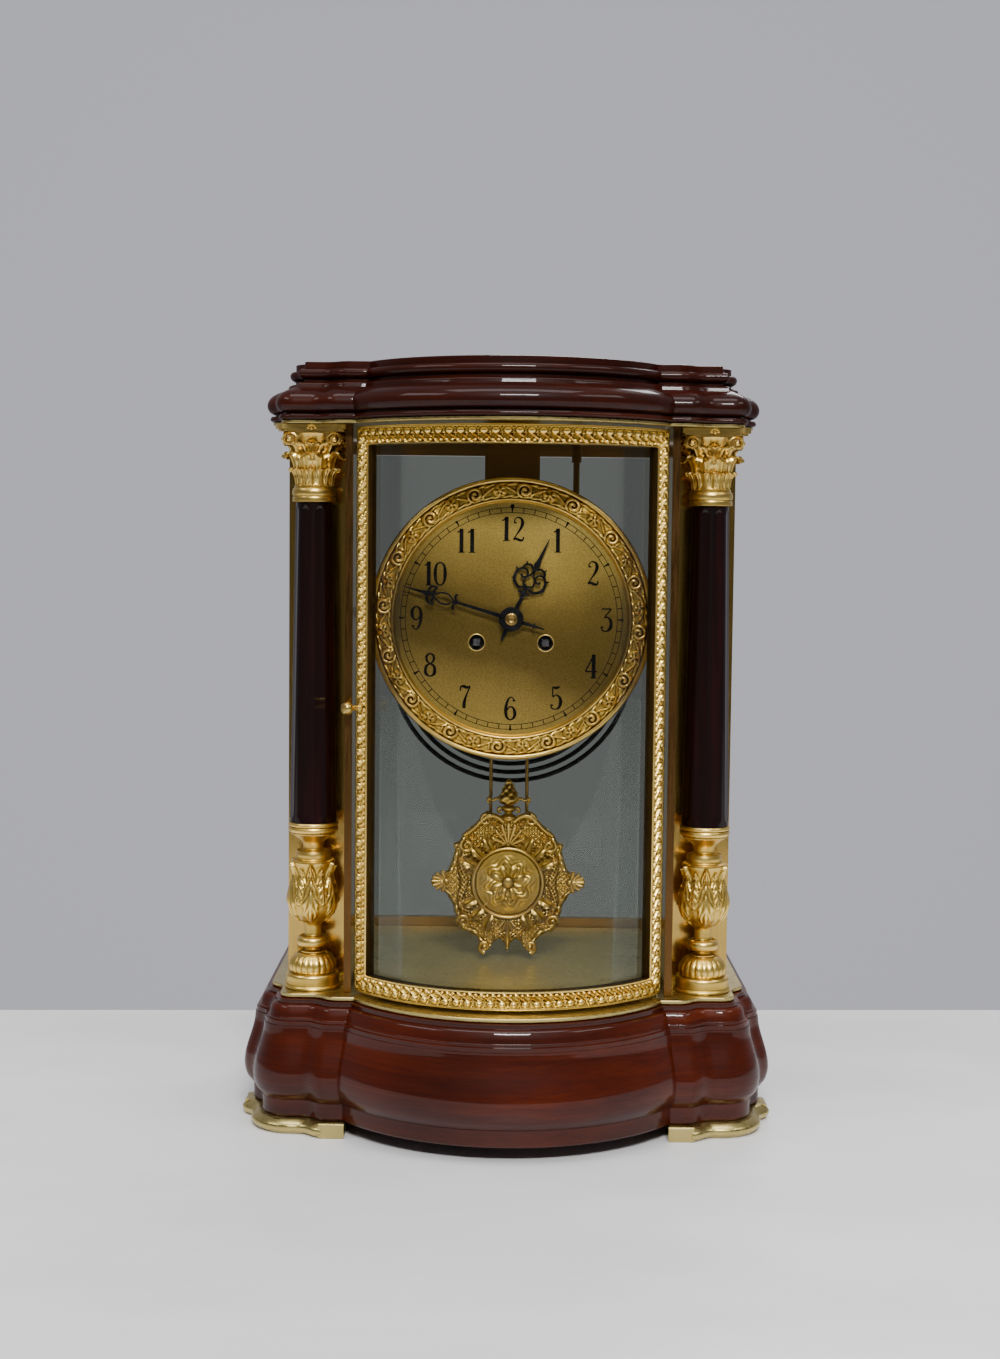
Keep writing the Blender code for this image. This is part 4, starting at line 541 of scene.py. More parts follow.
def smooth_outline(stops, steps=5):
    """Curve through (x, y) points that stays sharp at each one marked as a corner."""
    corner = [len(stop) > 2 for stop in stops]
    points = [np.array(stop[:2], dtype=float) for stop in stops]
    result = []
    for i in range(len(points) - 1):
        p1, p2 = points[i:i + 2]
        result.append(tuple(p1))
        if corner[i] and corner[i + 1]:
            continue
        before = points[i - 1] if i and not corner[i] else p1
        after = points[i + 2] if i + 2 < len(points) and not corner[i + 1] else p2
        for k in range(1, steps):
            t = k / steps
            result.append(tuple(
                (2 * t ** 3 - 3 * t ** 2 + 1) * p1 + (t ** 3 - 2 * t ** 2 + t) * (p2 - before) / 2
                + (3 * t ** 2 - 2 * t ** 3) * p2 + (t ** 3 - t ** 2) * (after - p1) / 2
            ))
    return result + [tuple(points[-1])]


def spline(points, steps):
    """Smooth curve of any dimension through all its points."""
    points = [np.array(p, dtype=float) for p in points]
    padded = [2 * points[0] - points[1], *points, 2 * points[-1] - points[-2]]
    result = []
    for i in range(len(points) - 1):
        p0, p1, p2, p3 = padded[i:i + 4]
        for k in range(steps):
            t = k / steps
            result.append(0.5 * (
                2 * p1 + (p2 - p0) * t + (2 * p0 - 5 * p1 + 4 * p2 - p3) * t ** 2
                + (3 * p1 - p0 - 3 * p2 + p3) * t ** 3
            ))
    return [tuple(p) for p in result + points[-1:]]


def turned(shape, outline, facets, relief=lambda height, angle: 0):
    """Solid of revolution about Z from (radius, height) pairs. Relief is what stands off it."""
    angles = [TAU * i / facets for i in range(facets)]
    shape.grid([[(*polar(r + relief(z, a), a), z) for a in angles] for r, z in outline], around=True)


def turned_ring(shape, section, sides):
    """Ring about Z. Its section is a closed line of (radius, height) pairs."""
    rows = [[(*polar(r, TAU * i / sides), z) for r, z in section] for i in range(sides)]
    shape.grid(rows, around=True, closed=True)


def rectangle(left, right, low, high):
    """Its four corners, in order."""
    return [(left, low), (right, low), (right, high), (left, high)]


def eased_levels(low, high, ease):
    """Inset and height of each row of a slab with eased edges."""
    return ((ease, low), (0, low + ease), (0, high - ease), (ease, high))


def tube(shape, path, radii, sides=8, flat=1.0):
    """Round bar along a path, with one radius or a radius at each point."""
    path = [Vector(p) for p in path]
    rows = []
    normal = None
    for i, (point, radius) in enumerate(zip(path, np.broadcast_to(radii, len(path)).tolist())):
        ahead = path[min(i + 1, len(path) - 1)] - path[max(i - 1, 0)]
        ahead.normalize()
        if normal is None:
            helper = Vector((0, 0, 1)) if abs(ahead.z) < 0.9 else Vector((1, 0, 0))
            normal = ahead.cross(helper).normalized()
        normal = (normal - ahead * normal.dot(ahead)).normalized()
        across = ahead.cross(normal)
        ring = [polar(radius, TAU * j / sides) for j in range(sides)]
        rows.append([point + a * normal + flat * b * across for a, b in ring])
    shape.grid(rows, around=True)


def tapered(shape, path, thick, drop, sides=8):
    """Round bar that loses a part of its radius towards its end."""
    tube(shape, path, [thick - drop * i / len(path) for i in range(len(path))], sides)


def spiral_path(centre, start_radius, end_radius, start, turns, depth=0, steps=28):
    """Flat spiral from a first radius and angle."""
    path = []
    for i in range(steps + 1):
        t = i / steps
        x, y = polar(start_radius + (end_radius - start_radius) * t, start + TAU * turns * t)
        path.append((centre[0] + x, centre[1] + y, depth))
    return path


def dome(shape, centre, radius, height, rings=5, sides=14):
    """Round button that stands on the local XY plane."""
    start = len(shape.points)
    outline = []
    for i in range(rings + 1):
        x, z = polar(1, math.radians(90) * i / rings)
        outline.append((radius * x + (DOME_TIP_RADIUS if i == rings else 0), height * z))
    turned(shape, outline, sides)
    shape.moved(Matrix.Translation(centre), start)


def fan(shape, centre, middle, step, count, ends, radii, sides=8):
    """Rays between two ellipses, each given as (half width, half height, depth). Returns their tips."""
    tips = []
    for k in range(count):
        a = math.radians(middle + step * (k - (count - 1) / 2))
        ray = [(centre[0] + w * math.sin(a), centre[1] + h * math.cos(a), z) for w, h, z in ends]
        tube(shape, ray, radii, sides)
        tips.append(ray[1])
    return tips


def ribbon(shape, points, low, high, steps=6):
    """Flat stroke between two heights, along a smooth curve of (x, y, width) points."""
    curve = spline(points, steps)
    rows = []
    for i, (x, y, width) in enumerate(curve):
        before, after = curve[max(i - 1, 0)], curve[min(i + 1, len(curve) - 1)]
        along = Vector((after[0] - before[0], after[1] - before[1])).normalized()
        half = max(width, 0.01) / 2
        left, right = (x - along.y * half, y + along.x * half), (x + along.y * half, y - along.x * half)
        rows.append([(*left, low), (*right, low), (*right, high), (*left, high)])
    shape.grid(rows, around=True)


def leaf(shape, spine, widths, thickness, lobes, matrix):
    """An acanthus leaf. The spine is (out, up) pairs, its widths are half widths, both along the leaf."""
    start = len(shape.points)
    steps = len(spine)
    rows = []
    for i, ((out, up), width) in enumerate(zip(spine, widths)):
        before, after = spine[max(i - 1, 0)], spine[min(i + 1, steps - 1)]
        direction = Vector((after[0] - before[0], 0, after[1] - before[1])).normalized()
        normal = Vector((direction.z, 0, -direction.x))
        wave = 1 - 0.28 * (0.5 + 0.5 * math.cos(TAU * lobes * i / (steps - 1)))
        front, back = [], []
        for j in range(LEAF_COLUMNS):
            u = 2 * j / (LEAF_COLUMNS - 1) - 1
            rib = 0.35 * math.exp(-(u / 0.16) ** 2) + 0.12 * math.cos(TAU * 1.6 * abs(u))
            rise = thickness * rib - LEAF_CUP * width * u * u
            centre = Vector((out, u * width * wave, up))
            front.append(centre + normal * rise)
            back.append(centre + normal * (rise - thickness))
        rows.append(front + back[::-1])
    shape.grid(rows, around=True)
    shape.moved(matrix, start)


# Case

def corner_outline(offset):
    """Corner of the case at an offset, from the bow's step round to the side, in the corner's own axes."""
    mitre = offset * math.tan(math.radians(45) / 2)
    foot = (STEP_START - mitre, -offset)
    lip = (STEP_START + STEP_REACH - mitre, -STEP_REACH - offset)
    middle = between(foot, lip, 0.5)
    start = (lip[0] + STEP_EASE, lip[1])
    end = (foot[0] - STEP_EASE, foot[1])
    half = [start]
    for first, control, last in ((start, lip, middle), (middle, foot, end)):
        for i in range(1, STEP_FACETS + 1):
            t = i / STEP_FACETS
            half.append(between(between(first, control, t), between(control, last, t), t))
    radius = max(BLOCK_CORNER_RADIUS + offset, LEAST_CORNER_RADIUS)
    centre = radius - offset
    for i in range(CORNER_FACETS + 1):
        x, y = bearing_point(radius, math.radians(45) * i / CORNER_FACETS)
        half.append((centre - x, centre - y))
    return half + [(b, a) for a, b in reversed(half[:-1])]


def bow_outline(offset):
    """Bowed part of the front, from left to right."""
    radius = BOW_RADIUS + offset
    end = math.acos((BOW_CENTRE_SETBACK + STEP_REACH + offset) / radius)
    centre_y = FRONT_PLANE + BOW_CENTRE_SETBACK
    angles = [end * (2 * i / BOW_FACETS - 1) for i in range(BOW_FACETS + 1)]
    return [(radius * math.sin(a), centre_y - radius * math.cos(a)) for a in angles]


def plan_outline(offset):
    """Closed plan of the case at an offset."""
    corner = corner_outline(offset)
    right = [(BLOCK_HALF_WIDTH - a, FRONT_PLANE + b) for a, b in corner]
    right += [(BLOCK_HALF_WIDTH - a, REAR_PLANE - b) for a, b in reversed(corner)]
    left = [(-x, y) for x, y in reversed(right)]
    return bow_outline(offset) + right + left


def add_moulding(node, shares, reach, material):
    """Moulding swept round the plan, which is offset at every height of the outline."""
    low, high = box(node)
    height = high[2] - low[2]
    outline = [(reach * r, low[2] + height * h) for r, h in smooth_outline(shares)]
    # A narrow flat rim keeps the rounding's shading off the top and the bottom
    outline.insert(0, (outline[0][0] - FLAT_RIM, outline[0][1]))
    outline.append((outline[-1][0] - FLAT_RIM, outline[-1][1]))
    shape = Shape()
    shape.grid([[(x, y, z) for x, y in plan_outline(offset)] for offset, z in outline], around=True)
    make_piece(f"{node}_polished", shape, material, "case", [node], crease=28)


def foot_piece(shape, side, end, height, levels):
    """Add one body to a foot. Its levels are outlines in the corner's own axes and shares of height."""
    plane_y = FRONT_PLANE if end < 0 else REAR_PLANE
    shape.grid([
        [(side * (BLOCK_HALF_WIDTH - a), plane_y - end * b, share * height) for a, b in points]
        for points, share in levels
    ], around=True)


def add_feet():
    """Rounded brass bracket feet, each with a flat tab at its two inner ends."""
    quarter = [math.radians(90) * k / 7 for k in range(8)]
    cushion = [(0.13 * (1 - math.sin(a)), 0.02 + 0.46 * k / 7) for k, a in enumerate(quarter)]
    cushion += [(0.2 * (1 - math.cos(a)), 0.5 + 0.5 * k / 7) for k, a in enumerate(quarter) if k]
    body_end = FOOT_ARM - FOOT_REACH - FOOT_TAB
    inner = corner_outline(FOOT_REACH - FOOT_WIDTH)[::-1]
    body, tab, swapped_tab = [], [], []
    for inset, share in cushion:
        points = corner_outline(FOOT_REACH - inset * FOOT_WIDTH) + inner
        body.append(([(min(a, body_end), min(b, body_end)) for a, b in points], share))
    for inset, share in FOOT_TAB_LEVELS:
        level = -STEP_REACH - FOOT_REACH + inset * FOOT_WIDTH
        points = rectangle(body_end - 1, FOOT_ARM - FOOT_REACH, level, level + 0.8 * FOOT_WIDTH)
        tab.append((points, share))
        swapped_tab.append(([(b, a) for a, b in points], share))
    for side_name, side in SIDES:
        for end_name, end in (("front", -1), ("rear", 1)):
            node = f"foot_{end_name}_{side_name}"
            shape = Shape()
            for levels in (body, tab, swapped_tab):
                foot_piece(shape, side, end, box(node)[1][2], levels)
            make_piece(f"{node}_cast", shape, PLATE_BRASS, "case", [node], crease=40)


def add_plates():
    """Brass base and top plates with eased edges."""
    for node in ("base_plate", "top_plate"):
        low, high = box(node)
        levels = eased_levels(low[2], high[2], PLATE_EASE)
        shape = Shape()
        shape.grid([[(x, y, z) for x, y in plan_outline(-inset)] for inset, z in levels], around=True)
        make_piece(f"{node}_polished", shape, PLATE_BRASS, "case", [node], crease=30)


# Columns

VASE_OUTLINE = (
    (16.09, 76.4, 1), (16.09, 77.3), (15.3, 78.3, 1), (15.2, 80.2, 1), (15.25, 82.9), (14.6, 84.2, 1),
    (13.0, 84.3, 1), (12.5, 84.8, 1), (13.0, 86.2), (13.3, 88.5), (12.7, 91.2), (10.9, 94),
    (8.6, 95.6, 1), (6.9, 95.8, 1), (6.9, 96.6, 1), (4.6, 96.9), (4.3, 98), (4.9, 99.1, 1),
    (7.6, 99.4, 1), (8.6, 100.2), (9.2, 102.2), (8.6, 104.2), (7.4, 105.2, 1), (5.0, 105.5), (4.6, 108.5),
    (4.7, 111.5), (5.7, 113, 1), (7.8, 114.3), (10.3, 116.4), (13.0, 119.7), (14.3, 124.5), (14.0, 129),
    (12.5, 135), (10.9, 140.5), (11.2, 144), (12.5, 147.5), (12.3, 149.3, 1), (10.2, 149.8, 1),
    (9.8, 150.6), (9.9, 152.6), (9.4, 154.6, 1), (6.2, 155.2), (5.75, 157), (6.7, 160), (10.4, 163),
    (12.6, 164.3, 1), (12.6, 165.4, 1), (13.9, 165.9), (14.3, 167.2), (13.9, 168.4, 1), (13.5, 168.7, 1),
    (14.2, 169.3), (14.3, 170.3), (13.8, 171.1, 1),
)
VASE_FACETS = 160
VASE_STEP = 0.549
GADROONS = 22
GADROONS_LOW = 84.8
GADROONS_HIGH = 95.2
VASE_LEAVES = 6
LEAVES_LOW = 114
LEAVES_HIGH = 149
SHAFT_FOOT_RADIUS = 13.3
SHAFT_TOP_RADIUS = 10.3
SHAFT_FACETS = 192
FLUTES = 8
FLUTE_DEPTH = 0.6
FLUTE_STOP = 6


def vase_relief(height, angle):
    """How far the carving stands off the turned vase: gadroons below, two rings of leaves above."""
    if GADROONS_LOW < height < GADROONS_HIGH:
        share = (height - GADROONS_LOW) / (GADROONS_HIGH - GADROONS_LOW)
        lobe = abs(math.sin(angle * GADROONS / 2))
        return (0.75 * lobe ** 0.6 - 0.45) * math.sin(math.pi * min(1, share * 1.05)) ** 0.5
    if LEAVES_LOW < height < LEAVES_HIGH:
        share = (height - LEAVES_LOW) / (LEAVES_HIGH - LEAVES_LOW)
        turn = (angle / TAU * VASE_LEAVES) % 1 - 0.5
        second = (angle / TAU * VASE_LEAVES + 0.5) % 1 - 0.5
        relief = 0
        for across, start, end, size in ((turn, 0.0, 0.98, 1.0), (second, 0.3, 0.9, 0.7)):
            if not start < share < end:
                continue
            v = (share - start) / (end - start)
            lobes = 0.5 + 0.5 * math.cos(TAU * (4.5 * v + 1.4 * abs(across)))
            half = 0.46 * size * math.sin(math.pi * min(1, v ** 0.7)) ** 0.7 * (0.74 + 0.26 * lobes)
            u = abs(across) / max(half, 0.01)
            if u < 1:
                edge = 1 - u ** 4
                vein = 0.35 * math.cos(TAU * (5.5 * v + 2.2 * u)) * min(1, u * 3)
                rib = 0.7 * math.exp(-(u / 0.16) ** 2)
                curl = 1.1 * max(0, v - 0.78) / 0.22
                relief = max(relief, edge * (size + vein + rib + curl) - 0.15)
        return relief - 0.35
    return 0


def on_column(side, height=0):
    """Matrix that moves a shape from the origin to a column's axis."""
    return Matrix.Translation((side * COLUMN_X, COLUMN_Y, height))


def add_vase(node, side):
    """Gilt pedestal. Its outline is cut finely enough to carry the leaves."""
    outline = smooth_outline(VASE_OUTLINE)
    dense = []
    for first, last in zip(outline, outline[1:]):
        pieces = max(1, math.ceil(math.dist(first, last) / VASE_STEP))
        dense += [between(first, last, k / pieces) for k in range(pieces)]
    shape = Shape()
    turned(shape, dense + outline[-1:], VASE_FACETS, vase_relief)
    shape.moved(on_column(side))
    make_piece(f"{node}_carved", shape, GILT, "case", [node], crease=50)


def add_shaft(node, side):
    """Tapered shaft with shallow stopped flutes and narrow flats between them."""
    low, high = box(node)
    height = high[2] - low[2]

    def flute(h, angle):
        ease = (min(h, height - h) - 0.35 * FLUTE_STOP) / (0.65 * FLUTE_STOP)
        ease = min(1, max(0, ease))
        lip = math.sqrt(ease * (2 - ease))
        u = abs((angle / TAU * FLUTES) % 1 - 0.5) / 0.36
        return -FLUTE_DEPTH * (1 - (u / max(lip, 0.01)) ** 2) * lip if u < lip else 0

    stop = [FLUTE_STOP * (0.35 + 0.65 * k / 8) for k in range(9)]
    middle = [height * k / 24 for k in range(2, 23)]
    levels = [0.0, *stop, *middle, *(height - s for s in stop[::-1]), height]
    outline = [(SHAFT_FOOT_RADIUS + (SHAFT_TOP_RADIUS - SHAFT_FOOT_RADIUS) * h / height, h) for h in levels]
    shape = Shape()
    turned(shape, outline, SHAFT_FACETS, flute)
    shape.moved(on_column(side, low[2]))
    make_piece(f"{node}_polished", shape, SHAFT_WOOD, "case", [node], crease=30)


CAPITAL_OUTLINE = (
    (12.1, 352.6, 1), (12.2, 353), (12.2, 354.6), (11.9, 355.4, 1), (11.9, 355.8, 1), (12.3, 356.6),
    (12.4, 358.2), (11.9, 359.8), (11.2, 360.5, 1), (11.2, 361.4, 1), (10.4, 361.8, 1), (9.9, 364),
    (9.9, 370), (10.6, 378), (12.6, 385), (15.2, 390.4, 1),
)

# Rows of leaves: count, turn in steps, half width, outline as (radius, height), lobes
CAPITAL_LEAVES = (
    (16, 0.0, 1.9, ((10.4, 361.8), (10.9, 365), (11.6, 368), (13.1, 370), (14.1, 369.3)), 2),
    (8, 0.5, 4.3, ((10.2, 364), (11.4, 370), (12.6, 375), (14.4, 378.3), (16.1, 377.6), (16.5, 376.2)), 4),
    (8, 0.0, 4.0, ((10.6, 371), (12.0, 377), (13.4, 381.5), (15.4, 384.3), (16.8, 383.6)), 4),
)
CAPITAL_SCROLL_PLACE = (12.4, -14.9, 386.9)
CAPITAL_FLOWER_PLACE = (0, -15.4, 392.8)
CAPITAL_PALMETTE_PLACE = (0, -13.6, 383.6)
ABACUS_HALF_WIDTH = 20.1
ABACUS_CUT = 15.4
ABACUS_HOLLOW = 4.4


def abacus_outline():
    """Square with hollow sides and blunt corners."""
    half, cut = ABACUS_HALF_WIDTH, ABACUS_CUT
    line = [(half - 0.4, -cut - 2.6), (half - 0.2, -cut - 1.2), (half, -cut)]
    for k in range(1, 12):
        t = k / 12
        line.append((half - ABACUS_HOLLOW * math.sin(math.pi * t) ** 0.9, -cut + 2 * cut * t))
    line += [(half, cut), (half - 0.2, cut + 1.2)]
    outline = []
    for quarter in range(4):
        c, s = polar(1, math.radians(90) * quarter)
        outline += [(c * x - s * y, s * x + c * y) for x, y in line]
    return outline


def add_capital(node, side):
    """Bell, rows of leaves, scrolls at the corners and a hollow-sided abacus."""
    shape = Shape()
    turned(shape, smooth_outline(CAPITAL_OUTLINE, 4), 64)
    for count, shift, half, spine, lobes in CAPITAL_LEAVES:
        curve = spline(spine, 5)
        last = len(curve) - 1
        widths = [half * (0.75 + 0.35 * math.sin(math.pi * i / last)) for i in range(last + 1)]
        for k, share in enumerate((0.35, 0.7, 0.92)):
            widths[-1 - k] *= share
        for i in range(count):
            leaf(shape, curve, widths, 0.9, lobes, Matrix.Rotation(TAU * (i + shift) / count, 4, "Z"))
    x, y, z = CAPITAL_SCROLL_PLACE
    spiral = spiral_path((x, z), 4.4, 1.1, math.radians(215), -1.45, steps=10)
    stalk = [(3.2, -12.0, 379.5), (5.4, -13.2, 384)]
    scroll = stalk + [(a, y - 0.13 * k, b) for k, (a, b, _) in enumerate(spiral)]
    for quarter in range(4):
        start = len(shape.points)
        for hand in (-1, 1):
            tapered(shape, spline(mirrored(scroll, hand), 3), 1.0, 0.4, sides=7)
            first = len(shape.points)
            dome(shape, (0, 0, 0), 1.5, 1.4)
            shape.moved(facing(hand * x, y - 1.1, z), first)
        first = len(shape.points)
        for k in range(5):
            dome(shape, (*polar(2.0, math.radians(18 + 36 * k)), 0), 1.15, 1.3, sides=10)
        dome(shape, (0, 0, 0), 1.3, 1.9, sides=12)
        shape.moved(facing(*CAPITAL_FLOWER_PLACE), first)
        first = len(shape.points)
        fan(shape, (0, 0), 0, 30, 5, ((0.8, 0.8, 0), (3.4, 3.4, 1.2)), [0.5, 0.85], sides=7)
        shape.moved(facing(*CAPITAL_PALMETTE_PLACE), first)
        shape.moved(Matrix.Rotation(math.radians(90) * quarter, 4, "Z"), start)
    for grow, *heights in ((0.74, 389.2, 391.3), (0.93, 391.1, 392.5), (1.0, 392.3, 395.1)):
        shape.grid([[(grow * x, grow * y, z) for x, y in abacus_outline()] for z in heights], around=True)
    shape.moved(on_column(side))
    make_piece(f"{node}_carved", shape, CAPITAL_GILT, "case", [node], crease=45)


# Front door

def door_point(across, z, radius):
    """A point of the bowed door from its distance along the bow."""
    angle = across / DOOR_RADIUS
    return (radius * math.sin(angle), DOOR_CENTRE_Y - radius * math.cos(angle), z)


def frame_relief(along, across):
    """Carving of the door frame in millimetres. Across runs from the outer edge to the sight edge."""
    if across < OUTER_FILLET_END:
        return 0.15 if across > 0.25 else -0.1
    if across > SIGHT_FILLET_START:
        return -0.1 if across < SIGHT_FILLET_START + 1 else -0.5
    pitch = EGG_PITCH
    unit = (along / pitch) % 1 - 0.5
    height = -0.9
    if across < EGG_BAND_END:
        dx, dy = unit * pitch / 2.35, (across - 3.3) / 1.85
        egg = 1 - dx * dx - dy * dy
        if egg > 0:
            height = max(height, -0.3 + 1.15 * math.sqrt(egg))
        shell = abs(math.hypot(unit * pitch / 2.9, (across - 3.6) / 2.55) - 1)
        if across < 5.2:
            height = max(height, 0.25 - 2.6 * shell)
        dart = abs(abs(unit) - 0.5) * pitch
        height = max(height, 0.1 - 1.2 * dart - 0.12 * abs(across - 2.6))
    if across > ROPE_BAND_START:
        slant = ((along + 1.35 * (across - 5.2)) / pitch) % 1 - 0.5
        band = abs(slant) * pitch
        height = max(height, 0.35 - 0.75 * band + 0.12 * math.cos(TAU * band / 1.3))
    if across > BEAD_BAND_START:
        bead = ((along / pitch * 2) % 1 - 0.5) * pitch / 2
        ball = 1 - (bead / 1.1) ** 2 - ((across - 8.35) / 0.85) ** 2
        if ball > 0:
            height = max(height, -0.2 + 0.75 * math.sqrt(ball))
    return height


def add_door_frame():
    """Carved frame, swept round its four sides from the outer edge to the sight edge and back."""
    low, high = box("front_door_frame")
    reach = DOOR_END_ANGLE * DOOR_RADIUS
    rail = DOOR_RAIL_WIDTH
    corners = rectangle(-reach, reach, low[2], high[2])
    inner = rectangle(-reach + rail, reach - rail, low[2] + rail, high[2] - rail)
    back = DOOR_RADIUS - DOOR_THICKNESS
    rows = []
    for k in range(4):
        following = (k + 1) % 4
        level = k % 2 == 0
        count = int(math.dist(corners[k], corners[following]) / FRAME_STEP)
        for i in range(count):
            outer = between(corners[k], corners[following], i / count)
            sight = between(inner[k], inner[following], i / count)
            row = []
            for j in range(FRAME_COLUMNS + 1):
                share = j / FRAME_COLUMNS
                x, z = between(outer, sight, share)
                along = (x if level else z - (low[2] + high[2]) / 2) * (1 if k < 2 else -1)
                row.append(door_point(x, z, DOOR_RADIUS + (1.35 * frame_relief(along, share * rail) - 0.6)))
            row.append(door_point(*sight, DOOR_RADIUS - GLASS_SETBACK + 0.2))
            row.append(door_point(*sight, back))
            row.append(door_point(*outer, back))
            rows.append(row)
    shape = Shape()
    shape.grid(rows, around=True, closed=True)
    # The two sight return faces take the dark brass: painted shade over the gap between frame and glass
    sight_faces = (FRAME_COLUMNS, FRAME_COLUMNS + 1)
    shape.numbers = [1 if j % len(rows[0]) in sight_faces else 0 for j in range(len(shape.faces))]
    make_piece("front_door_frame_carved", shape, [GILT, SHADED_RETURN_BRASS], "front_door",
               ["front_door_frame"], crease=60)


def add_door_glass():
    """Bowed pane with a bevel all round. Its bevel and its edge have the second material."""
    low, high = box("front_door_glass")
    radius = DOOR_RADIUS - GLASS_SETBACK
    covered = (DOOR_RAIL_WIDTH + GLASS_CLEARANCE) / (DOOR_RADIUS - DOOR_THICKNESS)
    reach = (DOOR_END_ANGLE - covered) * DOOR_RADIUS
    flat = reach - GLASS_BEVEL_WIDTH
    across = [-reach, *(flat * (k / 28 - 1) for k in range(57)), reach]
    levels = [low[2], low[2] + GLASS_BEVEL_WIDTH, high[2] - GLASS_BEVEL_WIDTH, high[2]]
    columns = len(across)
    shape = Shape()
    for z in levels:
        for x in across:
            rim = z in (levels[0], levels[3]) or abs(x) == reach
            shape.points.append(door_point(x, z, radius - (GLASS_BEVEL_DEPTH if rim else 0)))
    for z in (levels[0], levels[3]):
        shape.points += [door_point(x, z, radius - GLASS_THICKNESS) for x in across]
    last = columns - 1
    back, back_top, top = 4 * columns, 5 * columns, 3 * columns

    def face(number, *corners):
        shape.faces.append(corners)
        shape.numbers.append(number)

    for r in range(3):
        for c in range(last):
            a = r * columns + c
            face(0 if r == 1 and 0 < c < last - 1 else 1, a, a + 1, a + columns + 1, a + columns)
    for c in range(last):
        face(0, back + c, back_top + c, back_top + c + 1, back + c + 1)
        face(1, c, back + c, back + c + 1, c + 1)
        face(1, top + c, top + c + 1, back_top + c + 1, back_top + c)
    for c in (0, last):
        face(1, c, columns + c, 2 * columns + c, top + c, back_top + c, back + c)
    make_piece("front_door_glass_bevelled", shape, [FRONT_GLASS, BEVEL_GLASS], "front_door",
               ["front_door_glass"], crease=3)


def add_front_knob():
    """Turned knob that stands out square from the bowed frame."""
    angle = -(DOOR_END_ANGLE - DOOR_RAIL_WIDTH / 2 / DOOR_RADIUS)
    place = door_point(angle * DOOR_RADIUS, KNOB_HEIGHT, DOOR_RADIUS)
    outline = (
        (2.4, 0.1, 1), (2.4, 1.0), (1.5, 1.6), (1.4, 4.2), (1.9, 5.4, 1), (2.6, 6.2), (3.6, 8.0),
        (3.4, 9.6), (3.0, 10.4, 1), (2.7, 10.9), (0.3, 11.3),
    )
    shape = Shape()
    turned(shape, smooth_outline(outline), 32)
    outward = Vector((math.sin(angle), -math.cos(angle), 0))
    turn = Vector((0, 0, 1)).rotation_difference(outward).to_matrix().to_4x4()
    shape.moved(Matrix.Translation(place) @ turn)
    make_piece("front_door_knob_turned", shape, MOVEMENT_BRASS, "front_knob", ["front_door_knob"])


# Dial

def bezel_relief(angle, radius):
    """Running scroll and rosette carving, in millimetres, between a sight edge and an outer bead."""
    if radius < BEZEL_SIGHT_EDGE:
        return 2.4 * (radius - BEZEL_INNER_RADIUS) / (BEZEL_SIGHT_EDGE - BEZEL_INNER_RADIUS) + 0.4
    if radius < BEZEL_BAND_START:
        return 2.8 + 0.4 * math.sin(math.pi * (radius - BEZEL_SIGHT_EDGE))
    if radius > BEZEL_BAND_END:
        return 1.3 + 1.9 * math.sqrt(max(0, 1 - ((radius - BEZEL_BEAD_RADIUS) / BEZEL_BEAD_HALF_WIDTH) ** 2))
    band = (radius - BEZEL_BAND_START) / (BEZEL_BAND_END - BEZEL_BAND_START)
    ground = 3.1 + 0.9 * math.sin(math.pi * band) - 0.9 * band
    unit = angle / TAU * BEZEL_UNITS
    index = math.floor(unit)
    dx = (unit - index - 0.5) * TAU * BEZEL_UNIT_RADIUS / BEZEL_UNITS
    dy = radius - BEZEL_MIDDLE_RADIUS
    relief = 0
    distance = math.hypot(dx, dy)
    bearing = math.atan2(dy, dx)
    if index % 2 == 0:
        petal = 0.5 + 0.5 * math.cos(5 * bearing + 0.6)
        if distance < 4.2:
            relief = max(relief, 1.5 * (1 - (distance / 4.3) ** 4) * (0.5 + 0.5 * petal))
        if distance < 1.3:
            relief = max(relief, 1.7 * math.sqrt(1 - (distance / 1.35) ** 2) + 0.4)
    elif distance < 5.2:
        swirl = (bearing / TAU + distance / 2.9) % 1
        relief = max(relief, 1.35 * (1 - (distance / 5.3) ** 6) * abs(math.sin(math.pi * swirl)) ** 0.7)
    leaf_row = 0.5 + 0.5 * math.sin(unit * TAU * 2.5 + 2.2 * dy)
    edge = abs(dy) / 4.6
    relief = max(relief, (0.25 + 0.9 * leaf_row) * max(0, 1 - ((edge - 0.85) / 0.3) ** 2))
    relief = max(relief, 0.7 - 0.9 * abs(dy - 2.6 * math.sin(unit * math.pi)))
    return ground - 0.9 + 1.75 * relief * min(1, 6 * min(band, 1 - band))


def add_bezel():
    """Carved ring round the dial, with a rebate behind it."""
    front = DIAL_FRONT - 0.3
    back = DIAL_FRONT + 1.5
    width = BEZEL_OUTER_RADIUS - BEZEL_INNER_RADIUS
    rows = []
    for i in range(BEZEL_STEPS):
        angle = TAU * i / BEZEL_STEPS
        section = []
        for j in range(BEZEL_COLUMNS + 1):
            radius = BEZEL_INNER_RADIUS + width * j / BEZEL_COLUMNS
            section.append((radius, front - 0.9 * bezel_relief(angle, radius)))
        section += [(BEZEL_OUTER_RADIUS, back), (BEZEL_BACK_RADIUS, back), (BEZEL_BACK_RADIUS, front),
                    (BEZEL_INNER_RADIUS, front)]
        c, s = polar(1, angle)
        rows.append([(r * c, y, DIAL_HEIGHT + r * s) for r, y in section])
    shape = Shape()
    shape.grid(rows, around=True, closed=True)
    make_piece("bezel_carved", shape, GILT, "case", ["bezel"], crease=60)


